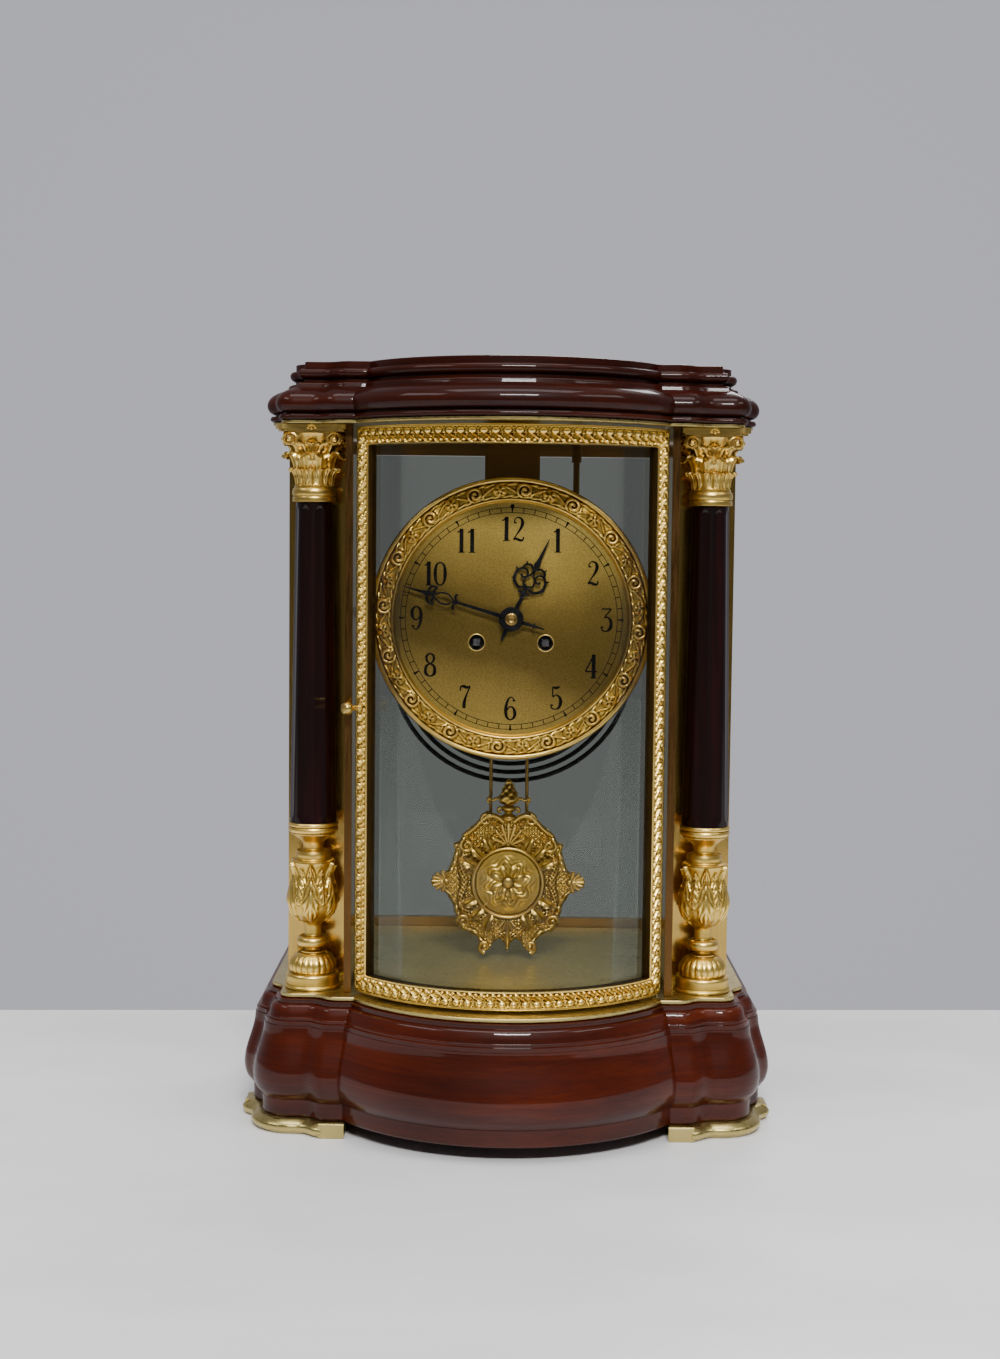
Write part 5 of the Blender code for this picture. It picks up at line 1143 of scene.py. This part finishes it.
# Strokes of each numeral: (x, y, width) points, in hundredths of its height
NUMERALS = {
    "1": (
        ((30, 2, 14), (30, 50, 14), (30, 100, 14)),
        ((12, 84, 5), (20, 88, 5), (30, 98, 6)),
        ((16, 1.5, 3.5), (44, 1.5, 3.5)),
    ),
    "2": (
        ((13, 77, 5), (15, 90, 4), (27, 98, 5), (42, 92, 8), (47, 74, 12), (40, 53, 9), (24, 28, 5),
         (10, 6, 5)),
        ((9, 5, 5), (20, 9, 9), (36, 3, 10), (48, 4, 7), (52, 17, 5)),
        ((17, 73, 10), (17, 79, 10)),
    ),
    "3": (
        ((10, 96, 5), (30, 96, 5), (50, 96, 5)),
        ((50, 96, 5), (34, 76, 5), (22, 60, 5)),
        ((22, 60, 5), (38, 60, 6), (49, 42, 11), (47, 16, 12), (30, 2, 5), (14, 6, 5), (9, 20, 5)),
        ((12, 16, 10), (12, 22, 10)),
    ),
    "4": (
        ((38, 2, 14), (38, 50, 14), (38, 100, 14)),
        ((38, 98, 5), (22, 64, 5), (4, 28, 5)),
        ((4, 28, 5), (54, 28, 5)),
        ((26, 1.5, 5), (50, 1.5, 5)),
    ),
    "5": (
        ((16, 55, 5), (16, 97, 5)),
        ((16, 95, 5), (30, 92, 10), (46, 97, 4)),
        ((16, 53, 5), (30, 62, 4), (45, 52, 9), (50, 32, 12), (43, 10, 9), (28, 2, 4), (12, 7, 5),
         (9, 20, 5)),
        ((12, 16, 10), (12, 22, 10)),
    ),
    "6": (
        ((45, 88, 5), (32, 98, 4), (18, 84, 8), (10, 50, 12), (13, 16, 10), (29, 2, 5), (44, 12, 9),
         (48, 32, 12), (40, 53, 7), (26, 56, 5), (14, 42, 5)),
        ((44, 80, 10), (44, 87, 10)),
    ),
    "7": (
        ((8, 76, 5), (10, 92, 6), (22, 95, 10), (36, 90, 10), (50, 96, 4)),
        ((50, 96, 5), (36, 62, 6), (26, 30, 11), (24, 2, 12)),
    ),
    "8": (
        ((29, 98, 5), (43, 88, 8), (43, 68, 8), (29, 55, 5), (15, 68, 8), (15, 88, 8), (29, 98, 5)),
        ((29, 55, 5), (46, 42, 9), (47, 14, 11), (29, 2, 5), (11, 14, 11), (12, 42, 9), (29, 55, 5)),
    ),
    "0": (
        ((28, 98.5, 5), (12, 85, 8), (7, 50, 12.5), (12, 15, 8), (28, 1.5, 5), (44, 15, 8), (49, 50, 12.5),
         (44, 85, 8), (28, 98.5, 5)),
    ),
}
NUMERALS["9"] = [[(58 - x, 100 - y, width) for x, y, width in stroke] for stroke in NUMERALS["6"]]
NUMERAL_ADVANCE = 0.5
NUMERAL_WIDTH = 0.58
NUMERAL_WEIGHT = 1.18


def add_numeral(shape, text, centre):
    """Number of one or two figures, set upright round its centre."""
    width = NUMERAL_ADVANCE * (len(text) - 1) + NUMERAL_WIDTH
    for i, figure in enumerate(text):
        shift = i * NUMERAL_ADVANCE * (0.9 if figure == "1" else 1) - width / 2
        for stroke in NUMERALS[figure]:
            placed = []
            for x, y, weight in stroke:
                across, up = x / 100 + shift, y / 100 - 0.5
                placed.append((centre[0] + across * NUMERAL_HEIGHT, centre[1] + up * NUMERAL_HEIGHT,
                               NUMERAL_WEIGHT * weight / 100 * NUMERAL_HEIGHT))
            ribbon(shape, placed, 0, PRINT_RELIEF)


def add_winding_holes(face):
    """Raised rims of the two holes for the key, and black wells inside them: painted shadow."""
    radius = WINDING_HOLE_RADIUS
    rim = ((0.96, -0.2), (0.96, 0.1), (1, 0.22), (1.05, 0.16), (1.07, 0.02))
    bottom = -WINDING_WELL_DEPTH
    well = ((0.97, -0.3), (0.97, bottom), (WELL_FLOOR_RADIUS / radius, bottom), (0.93, -0.3))
    for name, section, sides, material, slot in (
        ("winding_hole_rims", rim, 48, GILT, "dial"), ("winding_wells", well, 32, HOLE_BLACK, "blued"),
    ):
        shape = Shape()
        for x in (WINDING_HOLE_SPREAD, -WINDING_HOLE_SPREAD):
            start = len(shape.points)
            turned_ring(shape, [(radius * share, z) for share, z in section], sides)
            shape.moved(facing(x, face, DIAL_HEIGHT - WINDING_HOLE_DROP), start)
        make_piece(name, shape, material, "case")


def add_dial_print(face):
    """Minute track and numerals."""
    shape = Shape()
    for radius in (TRACK_INNER_RADIUS, TRACK_OUTER_RADIUS):
        line = rectangle(radius - TRACK_HALF_LINE, radius + TRACK_HALF_LINE, 0, PRINT_RELIEF)
        turned_ring(shape, line, 180)
    for minute in range(60):
        outer, width = (TRACK_OUTER_RADIUS, 0.48) if minute % 5 else (TRACK_OUTER_RADIUS + 0.6, 1.5)
        ends = ((TRACK_INNER_RADIUS, 0.48), (outer, width))
        points = [(*bearing_point(r, TAU * minute / 60), w) for r, w in ends]
        ribbon(shape, points, 0, PRINT_RELIEF * 1.2, steps=1)
    start = len(shape.points)
    turned(shape, [(1.15, 0), (1.15, PRINT_RELIEF * 1.4)], 24)
    shape.moved(Matrix.Translation((0, TRACK_OUTER_RADIUS + 0.8, 0)), start)
    for hour in range(1, 13):
        a = TAU * hour / 12
        half_width = (NUMERAL_WIDTH / 2 + NUMERAL_ADVANCE / 2 * (hour > 9)) * NUMERAL_HEIGHT
        reach = NUMERAL_OUTER_RADIUS - math.hypot(half_width * math.sin(a), NUMERAL_HEIGHT / 2 * math.cos(a))
        add_numeral(shape, str(hour), bearing_point(reach, a))
    shape.moved(facing(0, face - 0.02, DIAL_HEIGHT))
    make_piece("dial_numerals", shape, PRINT, "case", crease=30)


# Strokes of the hands: lift, whether it is mirrored, (x, y, width) points
HOUR_STROKES = (
    (0.0, False, ((0, 5.6, 2.6), (0, 12, 2.0), (0, 15.2, 2.2))),
    (0.02, False, ((-3.6, 16.2, 0.9), (0, 16, 2.0), (3.6, 16.2, 0.9))),
    (0.01, False, ((0, 15, 2.4), (0, 18, 1.6), (0, 20.5, 1.2))),
    (0.03, True, ((0.3, 19.6, 1.2), (4.4, 18.4, 1.5), (8.2, 21, 1.7), (8.9, 25.2, 1.5), (6.8, 28.6, 1.3),
        (3.6, 28.6, 1.1), (2.4, 26, 1.0), (4.4, 24.2, 1.1), (6, 25.4, 1.7))),
    (0.02, True, ((0.2, 20.4, 1.1), (2.6, 21, 1.2), (2.9, 24, 1.0), (0.9, 27.5, 1.0), (0, 30, 1.1))),
    (0.01, True, ((6.8, 28.6, 1.0), (5.8, 31.2, 1.2), (3, 32.2, 1.3), (0.9, 30.8, 1.1), (0.6, 33, 0.9))),
    (0.015, True, ((8.6, 22, 1.6), (10, 21.4, 0.4))),
    (0.015, True, ((8.9, 27, 1.6), (10.3, 28, 0.4))),
    (0.015, True, ((5.2, 31.6, 1.5), (6.2, 33.4, 0.4))),
    (0.005, False, ((0, 29.5, 1.4), (0, 33.5, 3.6), (0, 36, 2.4), (0, 42, 1.5), (0, 49.4, 0.4))),
    (0.0, False, ((0, -5.6, 2.2), (0, -9, 1.9), (0, -13.4, 1.0))),
)

MINUTE_STROKES = (
    (0.0, False, ((0, 6, 2.5), (0, 20, 1.9), (0, 30.5, 1.5))),
    (0.02, True, ((0.2, 31, 1.3), (1.2, 33, 1.2), (3.6, 33.6, 1.3), (4.4, 32.2, 0.5))),
    (0.01, True, ((0.2, 34, 0.8), (2.6, 37, 1.0), (2.9, 41, 1.0), (1, 45, 0.9), (0.2, 46, 0.8))),
    (0.03, True, ((0.3, 45, 1.1), (2.8, 46, 1.3), (4.8, 44.8, 1.0), (4.6, 47.6, 1.2), (2.6, 49, 1.3),
        (0.4, 49, 1.0))),
    (0.0, False, ((0, 30, 1.6), (0, 34.5, 1.4))),
    (0.005, False, ((0, 45, 1.4), (0, 50, 2.8), (0, 53, 1.7), (0, 64, 0.35))),
    (0.0, False, ((0, -6, 2.2), (0, -12, 1.7), (0, -19.4, 0.8))),
    (0.01, False, ((-1.8, -13.5, 0.5), (0, -13, 1.2), (1.8, -13.5, 0.5))),
)


def add_hand(node, body, ring, strokes, angle):
    """Black steel hand with pierced scrollwork."""
    low, high = box(node)
    thick = high[1] - low[1]
    shape = Shape()
    turned_ring(shape, rectangle(*ring, 0, thick), 48)
    for lift, both, points in strokes:
        for hand in (1, -1) if both else (1,):
            ribbon(shape, mirrored(points, hand), lift, thick + lift)
    shape.moved(facing(0, high[1], DIAL_HEIGHT) @ Matrix.Rotation(-angle, 4, "Z"))
    make_piece(f"{node}_pierced", shape, BLUED, body, [node], crease=30)


def add_collet():
    """Domed washer that holds the minute hand."""
    outline = ((1.7, 0.0, 1), (3.5, 0.0, 1), (3.6, 0.3), (3.1, 0.8), (1.9, 1.0, 1), (1.6, 0.8, 1))
    shape = Shape()
    turned(shape, smooth_outline(outline, 4), 40)
    shape.moved(facing(0, box("minute_hand")[0][1] - 0.02, DIAL_HEIGHT))
    make_piece("hand_collet", shape, ROD_BRASS, "minute_work")


# Pendulum

def add_rods():
    """Two round rods between a top yoke and the bob's bracket."""
    low, high = box("pendulum_frame")
    shape = Shape()
    for x in (-ROD_SPREAD, ROD_SPREAD):
        ends = [(x, PENDULUM_Y, low[2] + 0.4), (x, PENDULUM_Y, high[2] - 0.6)]
        tube(shape, ends, 1.45, sides=20, flat=0.72)
    for middle in (high[2] - 1.6, low[2] + 1.6):
        outline = rectangle(-YOKE_HALF_WIDTH, YOKE_HALF_WIDTH, middle - 1.4, middle + 1.4)
        depths = (PENDULUM_Y - 1.05, PENDULUM_Y + 1.05)
        shape.grid([[(x, y, z) for x, z in outline] for y in depths], around=True)
    make_piece("pendulum_rods", shape, ROD_BRASS, "pendulum", ["pendulum_frame"], crease=40)


# Edge of the bob's plate: bearing from the top in degrees, radius as a share of the half width
BOB_EDGE_SHARES = (
    (0, 0.9), (9, 0.87), (17, 0.97), (24, 0.9), (32, 0.87), (42, 0.86), (50, 0.83), (55, 0.87), (60, 0.8),
    (70, 0.78), (78, 0.79), (84, 0.87), (90, 1.0), (96, 0.87), (102, 0.8), (112, 0.77), (122, 0.8),
    (130, 0.86), (137, 0.86), (143, 0.82), (150, 0.82), (156, 0.87), (161, 0.93), (165, 0.9), (168, 0.78),
    (172, 0.74), (176, 0.78), (180, 0.9),
)


def bob_edge(bearing):
    """Radius of the bob's plate at a bearing from its top."""
    degrees = abs((math.degrees(bearing) + 180) % 360 - 180)
    pairs = zip(BOB_EDGE_SHARES, BOB_EDGE_SHARES[1:])
    (a, r0), (b, r1) = next(pair for pair in pairs if degrees <= pair[1][0])
    t = (degrees - a) / (b - a)
    return BOB_HALF_WIDTH * (r0 + (r1 - r0) * t * t * (3 - 2 * t))


def bob_relief(x, y, share):
    """Height of the bob's carving in millimetres. X and Y are millimetres from its centre."""
    radius = math.hypot(x, y)
    bearing = math.atan2(x, y)
    medallion = radius / MEDALLION_SCALE
    if medallion < MEDALLION_RADIUS:
        petals = 0.5 + 0.5 * math.cos(8 * bearing)
        inner = 0.5 + 0.5 * math.cos(8 * bearing + math.pi)
        height = 0.5
        if medallion > 3.0:
            fade = math.sin(math.pi * min(1, max(0, (medallion - 3.0) / 11.5)))
            ripple = math.cos(medallion * 2.6 + 4 * math.sin(8 * bearing))
            height += fade * (0.75 * petals ** 0.7 + 0.1 * ripple)
        if 2.4 < medallion < 9.5:
            height = max(height, 0.6 + 0.8 * math.sin(math.pi * (medallion - 2.4) / 7.1) * inner ** 0.6)
        if medallion < 2.8:
            height = max(height, 0.8 + 0.9 * math.sqrt(1 - (medallion / 2.85) ** 2))
        return height
    if medallion < MEDALLION_RADIUS + 2:
        return 0.5 + 1.2 * math.sqrt(max(0, 1 - ((medallion - MEDALLION_RADIUS - 1) / 1.1) ** 2))
    height = 0.35
    a = ((x + y) / TRELLIS_PITCH) % 1 - 0.5
    b = ((x - y) / TRELLIS_PITCH) % 1 - 0.5
    height += 0.35 * max(0, 1 - 5 * min(abs(abs(a) - 0.5), abs(abs(b) - 0.5)))
    height += 0.5 * max(0, 1 - (a * a + b * b) / 0.05)
    garland = abs(radius - GARLAND_RADIUS - 2.2 * math.cos(6 * bearing))
    if garland < GARLAND_HALF_WIDTH:
        buds = 0.5 + 0.5 * math.cos(bearing * 54) * math.cos(radius * 2.4)
        height = max(height, 0.5 + (1.0 - (garland / GARLAND_HALF_WIDTH) ** 2) * (0.5 + 0.9 * buds))
    rim = (1 - share) * radius / max(share, 0.01)
    if rim < BOB_RIM_WIDTH:
        wave = 0.5 + 0.5 * math.cos(bearing * 46)
        height = max(height, 0.4 + 1.1 * math.sin(math.pi * rim / BOB_RIM_WIDTH) * (0.6 + 0.5 * wave))
    return height


def add_blossom(shape, centre, radius, turn):
    """A small five-petalled flower."""
    for k in range(5):
        x, y = polar(0.62 * radius, turn + TAU * k / 5)
        dome(shape, (centre[0] + x, centre[1] + y, -0.1), 0.5 * radius, 1.5, rings=3, sides=8)
    dome(shape, (*centre, 0), 0.32 * radius, 1.9, rings=3, sides=8)


# Scrolls on the right of the bob: centre, first and last radius, first angle in degrees, turns, depth,
# thickness, taper, sides of the tube
BOB_SCROLLS = (
    ((13.4, 38.2), 3.4, 1.0, 90, -1.2, 0.9, 1.1, 0.5, 8),
    ((24.6, 22.4), 4.2, 1.0, 60, -1.3, 0.5, 1.2, 0.5, 8),
    ((13.6, -38.6), 3.6, 1.2, -90, 1.1, 0.4, 1.5, 0.6, 9),
    ((26.5, -23.5), 4.0, 1.0, 0, 1.2, 0.4, 1.2, 0.5, 8),
)
BOB_ARM = ((3, 37, 0.3), (8, 40.5, 0.6), (13, 40, 0.6), (16.4, 37.4, 0.4), (21, 32.5, 0.2), (26.5, 28.5, 0))
FINIAL_FLATNESS = 0.62
FINIAL_SETBACK = 2.4
FINIAL_ARMS = (
    (0.9, ((4, 49, 0), (7, 50.6, 0), (9.6, 49.4, 0), (12, 50.8, -0.4), (12.2, 48.6, -0.4), (10.8, 48.2, 0))),
    (0.85, ((3, 43.6, 0), (5.2, 45.2, 0), (6.4, 43.6, 0), (5.4, 42.2, 0), (4.6, 43, 0))),
)
BOB_LEAF = ((22, 0.2), (24, 1.2), (26.6, 1.5), (29, 1.0), (30.4, 0.1))


def add_bob_plate(shape):
    """Carved plate, dished a little towards its edge, with a plain back."""
    bearings = [TAU * i / BOB_STEPS for i in range(BOB_STEPS)]
    rows = []
    for k in range(BOB_RINGS + 1):
        share = (k / BOB_RINGS) ** 0.9 if k else 0.002
        drop = 1.3 * max(0.0, share - 0.9) / 0.1
        points = [bearing_point(bob_edge(bearing) * share, bearing) for bearing in bearings]
        rows.append([(x, y, bob_relief(x, y, share) * 1.55 - 1.3 - drop) for x, y in points])
    for share, depth in ((1.0, -3.2), (0.93, -6.6), (0.5, -6.8)):
        rows.append([(*bearing_point(bob_edge(bearing) * share, bearing), depth) for bearing in bearings])
    shape.grid(rows, around=True)


def add_bob_side(shape, hand):
    """Arm, scrolls, palmette and beads of one side."""
    path = spline(mirrored(BOB_ARM, hand), 6)
    tube(shape, path, [1.7 - 0.7 * abs(i / len(path) - 0.4) for i in range(len(path))], sides=9)
    for centre, first, last, angle, turns, depth, thick, taper, sides in BOB_SCROLLS:
        path = spiral_path(centre, first, last, math.radians(angle), turns, depth)
        tapered(shape, mirrored(path, hand), thick, taper, sides)
    dome(shape, (hand * 13.6, -38.6, 0.2), 1.7, 1.7)
    palmette = ((1, 1, 0.6), (7.6, 5.6, 0.3))
    for x, y, _ in fan(shape, (hand * 37.5, 0.8), 90 * hand, 26, 7, palmette, [0.7, 1.25]):
        dome(shape, (x, y, 0), 1.25, 1.6, sides=10)
    dome(shape, (hand * 37, 0.8, 0.2), 2.1, 1.9)
    for k in range(9):
        bearing = math.radians(hand * (24 + 14 * k))
        dome(shape, (*bearing_point(bob_edge(bearing) - 2.2, bearing), -0.1), 1.0, 1.3, sides=10)


def add_bob_finial(shape):
    """Flame finial on a baluster with two scroll arms that meet the rods."""
    start = len(shape.points)
    outline = (
        (2.2, 36, 1), (4.4, 38.4), (3.0, 40.6), (2.4, 42.4), (4.0, 43.6, 1), (4.6, 44.8), (3.6, 46, 1),
        (2.6, 46.6), (5.4, 48.6), (6.2, 50.4), (5.2, 52.8), (3.9, 55.6), (2.6, 58.4), (1.9, 59.6),
        (2.2, 60.6), (1.2, 61.8), (0.2, 62.0, 1),
    )

    def flame(z, angle):
        if 47 < z < 60:
            return 0.55 * math.sin(5 * angle + z * 1.3) + 0.3 * math.sin(5 * angle - z * 1.6)
        return 0

    turned(shape, smooth_outline(outline), 40, flame)
    # The turned shape is laid along Y and flattened
    shape.moved(Matrix(((1, 0, 0, 0), (0, 0, 1, 0), (0, FINIAL_FLATNESS, 0, 0), (0, 0, 0, 1))), start)
    for hand in (-1, 1):
        for radius, arm in FINIAL_ARMS:
            tube(shape, spline(mirrored(arm, hand), 5), radius)
    shape.moved(Matrix.Translation((0, 0, -FINIAL_SETBACK)), start)


def add_bob():
    """Cast bob: edge scrolls and palmettes round a plate with a trellis ground and a rosette medallion."""
    shape = Shape()
    add_bob_plate(shape)
    for hand in (-1, 1):
        add_bob_side(shape, hand)
    spine = spline(BOB_LEAF, 4)
    last = len(spine) - 1
    widths = [3.2 * math.sin(math.pi * (0.15 + 0.83 * i / last)) ** 0.6 for i in range(last + 1)]
    for k in range(20):
        if k % 5 not in (0, 4):
            leaf(shape, spine, widths, 0.9, 3, Matrix.Rotation(TAU * (k + 0.5) / 20, 4, "Z"))
    for k in range(14):
        bearing = TAU * (k + 0.5) / 14
        add_blossom(shape, bearing_point(bob_edge(bearing) - 5.6, bearing), 1.9, bearing)
    for x, y, _ in fan(shape, (0, 23), 0, 24, 7, ((1.6, 1.6, 0.8), (9.5, 12.5, 0.9)), [0.6, 1.5]):
        dome(shape, (x, y, 0.1), 1.5, 1.9, sides=10)
    fan(shape, (0, -21), 180, 24, 5, ((2, 2, 0.6), (6, 8, 0.9)), [0.7, 1.3])
    tube(shape, [(0, -29, 0.6), (0, -34, 0.8), (0, -38.8, 0.2)], [1.5, 2.0, 0.5], sides=10)
    add_bob_finial(shape)
    shape.moved(facing(0, BOB_FRONT, BOB_HEIGHT))
    make_piece("pendulum_bob_carved", shape, BOB_GILT, "pendulum", ["pendulum_bob"], crease=60)


def add_gong():
    """The gong's spiral wire, from its block inwards."""
    start = math.radians(90) - math.asin(GONG_POST_SIDE / GONG_RADIUS)
    steps = GONG_TURNS * GONG_STEPS_PER_TURN
    path = spiral_path((0, GONG_HEIGHT), GONG_RADIUS, GONG_INNER_RADIUS, start, -GONG_TURNS, steps=steps)
    shape = Shape()
    tube(shape, [(x, GONG_Y, z) for x, z, _ in path], GONG_WIRE_RADIUS, sides=12)
    make_piece("gong_wire", shape, BLUED, "case", ["gong_coil"], crease=60)


def dress_frame_nodes():
    """Finishes and eased edges for the CAD pieces that stay."""
    finishes = {
        "cheek": WALL_BRASS, "rear_post": BAR_BRASS, "side_rail": RAIL_BRASS, "back_door_frame": RAIL_BRASS,
        "floor_plate": FLOOR_BRASS, "movement_bracket": BRACKET_BRASS, "gong_post": BRACKET_BRASS,
        "back_door_knob": BAR_BRASS, "back_cock": MOVEMENT_BRASS, "side_glass": SIDE_GLASS,
        "back_door_glass": BACK_GLASS, "movement": MOVEMENT_BRASS, "going_winding": DARK_STEEL,
        "strike_winding": DARK_STEEL,
    }
    by_slot = {"brass": MOVEMENT_BRASS, "steel": STEEL, "blued": BLUED, "gilt": GILT, "glass": SIDE_GLASS,
               "mahogany": WOOD, "dial": DIAL_GILT}
    slots = {entry["node"]: entry["material_slot"] for entry in frame["record"]["subparts"]}
    for name, thing in frame["nodes"].items():
        found = [finish for start, finish in finishes.items() if name.startswith(start)]
        material = (found or [by_slot[slots[name]]])[0]
        thing.data.materials.clear()
        thing.data.materials.append(material)
        if slots[name] not in ("glass", "gilt", "mahogany"):
            ease = thing.modifiers.new("eased_edges", "BEVEL")
            ease.width = EDGE_EASE * MM
            ease.segments = 2
            ease.limit_method = "ANGLE"
            ease.angle_limit = math.radians(50)


def add_bars():
    """Coppery bars that cover the front edge of each cheek beside the door."""
    for side_name, side in SIDES:
        low, high = box(f"cheek_{side_name}")
        near = min(abs(low[0]), abs(high[0]))
        left, right = sorted((side * (near - BAR_OVERLAP), side * (near + BAR_WIDTH)))
        rows = []
        for inset, z in eased_levels(low[2], high[2], BAR_EASE):
            outline = rectangle(left + inset, right - inset, low[1] + BAR_FRONT, low[1] + BAR_BACK)
            rows.append([(x, y, z) for x, y in outline])
        shape = Shape()
        shape.grid(rows, around=True)
        make_piece(f"door_bar_{side_name}", shape, BAR_BRASS, "case")


# Stage, lights and camera

def add_stage():
    """Stone slab. It stands a little askew, as its far edge looks level in the picture."""
    turn = Matrix.Translation((0, SLAB_EDGE, 0)) @ Matrix.Rotation(SLAB_TURN, 4, "Z")
    corners = [(x, y, 0) for x, y in rectangle(-SLAB_HALF_WIDTH, SLAB_HALF_WIDTH, -SLAB_DEPTH, 0)]
    mesh = bpy.data.meshes.new("pale_floor")
    mesh.from_pydata([turn @ Vector(corner) for corner in corners], [], [(0, 1, 2, 3)])
    mesh.materials.append(floor_material())
    floor = bpy.data.objects.new("pale_floor", mesh)
    bpy.context.scene.collection.objects.link(floor)


def add_light(name, place, target, size, power):
    """Soft box that faces its target."""
    data = bpy.data.lights.new(name, "AREA")
    data.shape = "RECTANGLE"
    data.size, data.size_y = size
    data.energy = power
    light = bpy.data.objects.new(name, data)
    light.location = place
    light.rotation_euler = (Vector(target) - Vector(place)).to_track_quat("-Z", "Y").to_euler()
    bpy.context.scene.collection.objects.link(light)


def add_lights():
    """Studio: a backdrop that is lightest behind the clock, and soft boxes round it."""
    world = bpy.data.worlds.new("studio")
    world.use_nodes = True
    tree = world.node_tree
    background = tree.nodes["Background"]
    place = tree.nodes.new("ShaderNodeTexCoord")
    separate = tree.nodes.new("ShaderNodeSeparateXYZ")
    tree.links.new(place.outputs["Generated"], separate.inputs[0])
    ramp = tree.nodes.new("ShaderNodeValToRGB")
    fill_ramp(ramp, ((0.0, (0.11, 0.11, 0.11)), (0.45, (0.15, 0.15, 0.155)), (0.75, (0.34, 0.34, 0.37)),
                     (0.95, (0.495, 0.495, 0.54)), (1.0, (0.525, 0.525, 0.57))))
    shift = tree.nodes.new("ShaderNodeMapRange")
    shift.inputs["From Min"].default_value = -1
    tree.links.new(separate.outputs["Y"], shift.inputs["Value"])
    tree.links.new(shift.outputs["Result"], ramp.inputs["Fac"])
    tree.links.new(ramp.outputs["Color"], background.inputs["Color"])
    bpy.context.scene.world = world
    add_light("key", (0.12, -1.9, 1.7), (0, 0, 0.25), (0.8, 0.3), 62)
    add_light("side_left", (-1.8, -0.9, 2.0), (0, 0, 0.25), (1.2, 0.5), 12)
    add_light("side_right", (1.8, -1.0, 2.0), (0, 0, 0.25), (1.2, 0.5), 11)
    add_light("overhead", (0, -0.5, 2.5), (0, 0, 0.1), (2.0, 0.9), 32)
    add_light("rear", (0.5, 1.9, 1.9), (0, 0, 0.2), (1.2, 0.5), 24)


def add_camera():
    """The photograph's own view, solved from the plan of the case."""
    data = bpy.data.cameras.new("camera")
    data.sensor_fit = "VERTICAL"
    data.sensor_height = SENSOR_HEIGHT_MM
    data.lens = SENSOR_HEIGHT_MM * FOCAL_LENGTH_PX / IMAGE_HEIGHT_PX
    data.clip_start = 0.01
    camera = bpy.data.objects.new("camera", data)
    tilt = Matrix.Rotation(math.radians(90) - CAMERA_TILT, 4, "X")
    camera.matrix_world = Matrix.Translation(CAMERA_PLACE) @ tilt @ Matrix.Rotation(CAMERA_ROLL, 4, "Z")
    bpy.context.scene.collection.objects.link(camera)
    bpy.context.scene.camera = camera


add_camera()
add_stage()
add_lights()
dress_frame_nodes()
add_moulding("base_moulding", BASE_OUTLINE_SHARES, BASE_REACH, WOOD)
add_moulding("cornice", CORNICE_OUTLINE_SHARES, CORNICE_REACH, CORNICE_WOOD)
add_feet()
add_plates()
for side_name, side in SIDES:
    add_vase(f"column_vase_{side_name}", side)
    add_shaft(f"column_shaft_{side_name}", side)
    add_capital(f"column_capital_{side_name}", side)
add_bars()
add_door_frame()
add_door_glass()
add_front_knob()
dial_face = box("dial")[0][1]
add_winding_holes(dial_face)
add_dial_print(dial_face)
add_bezel()
add_hand("hour_hand", "hour_work", (2.95, 6.2), HOUR_STROKES, HOUR_HAND_ANGLE)
add_hand("minute_hand", "minute_work", (2.2, 6.9), MINUTE_STROKES, MINUTE_HAND_ANGLE)
add_collet()
add_rods()
add_bob()
add_gong()
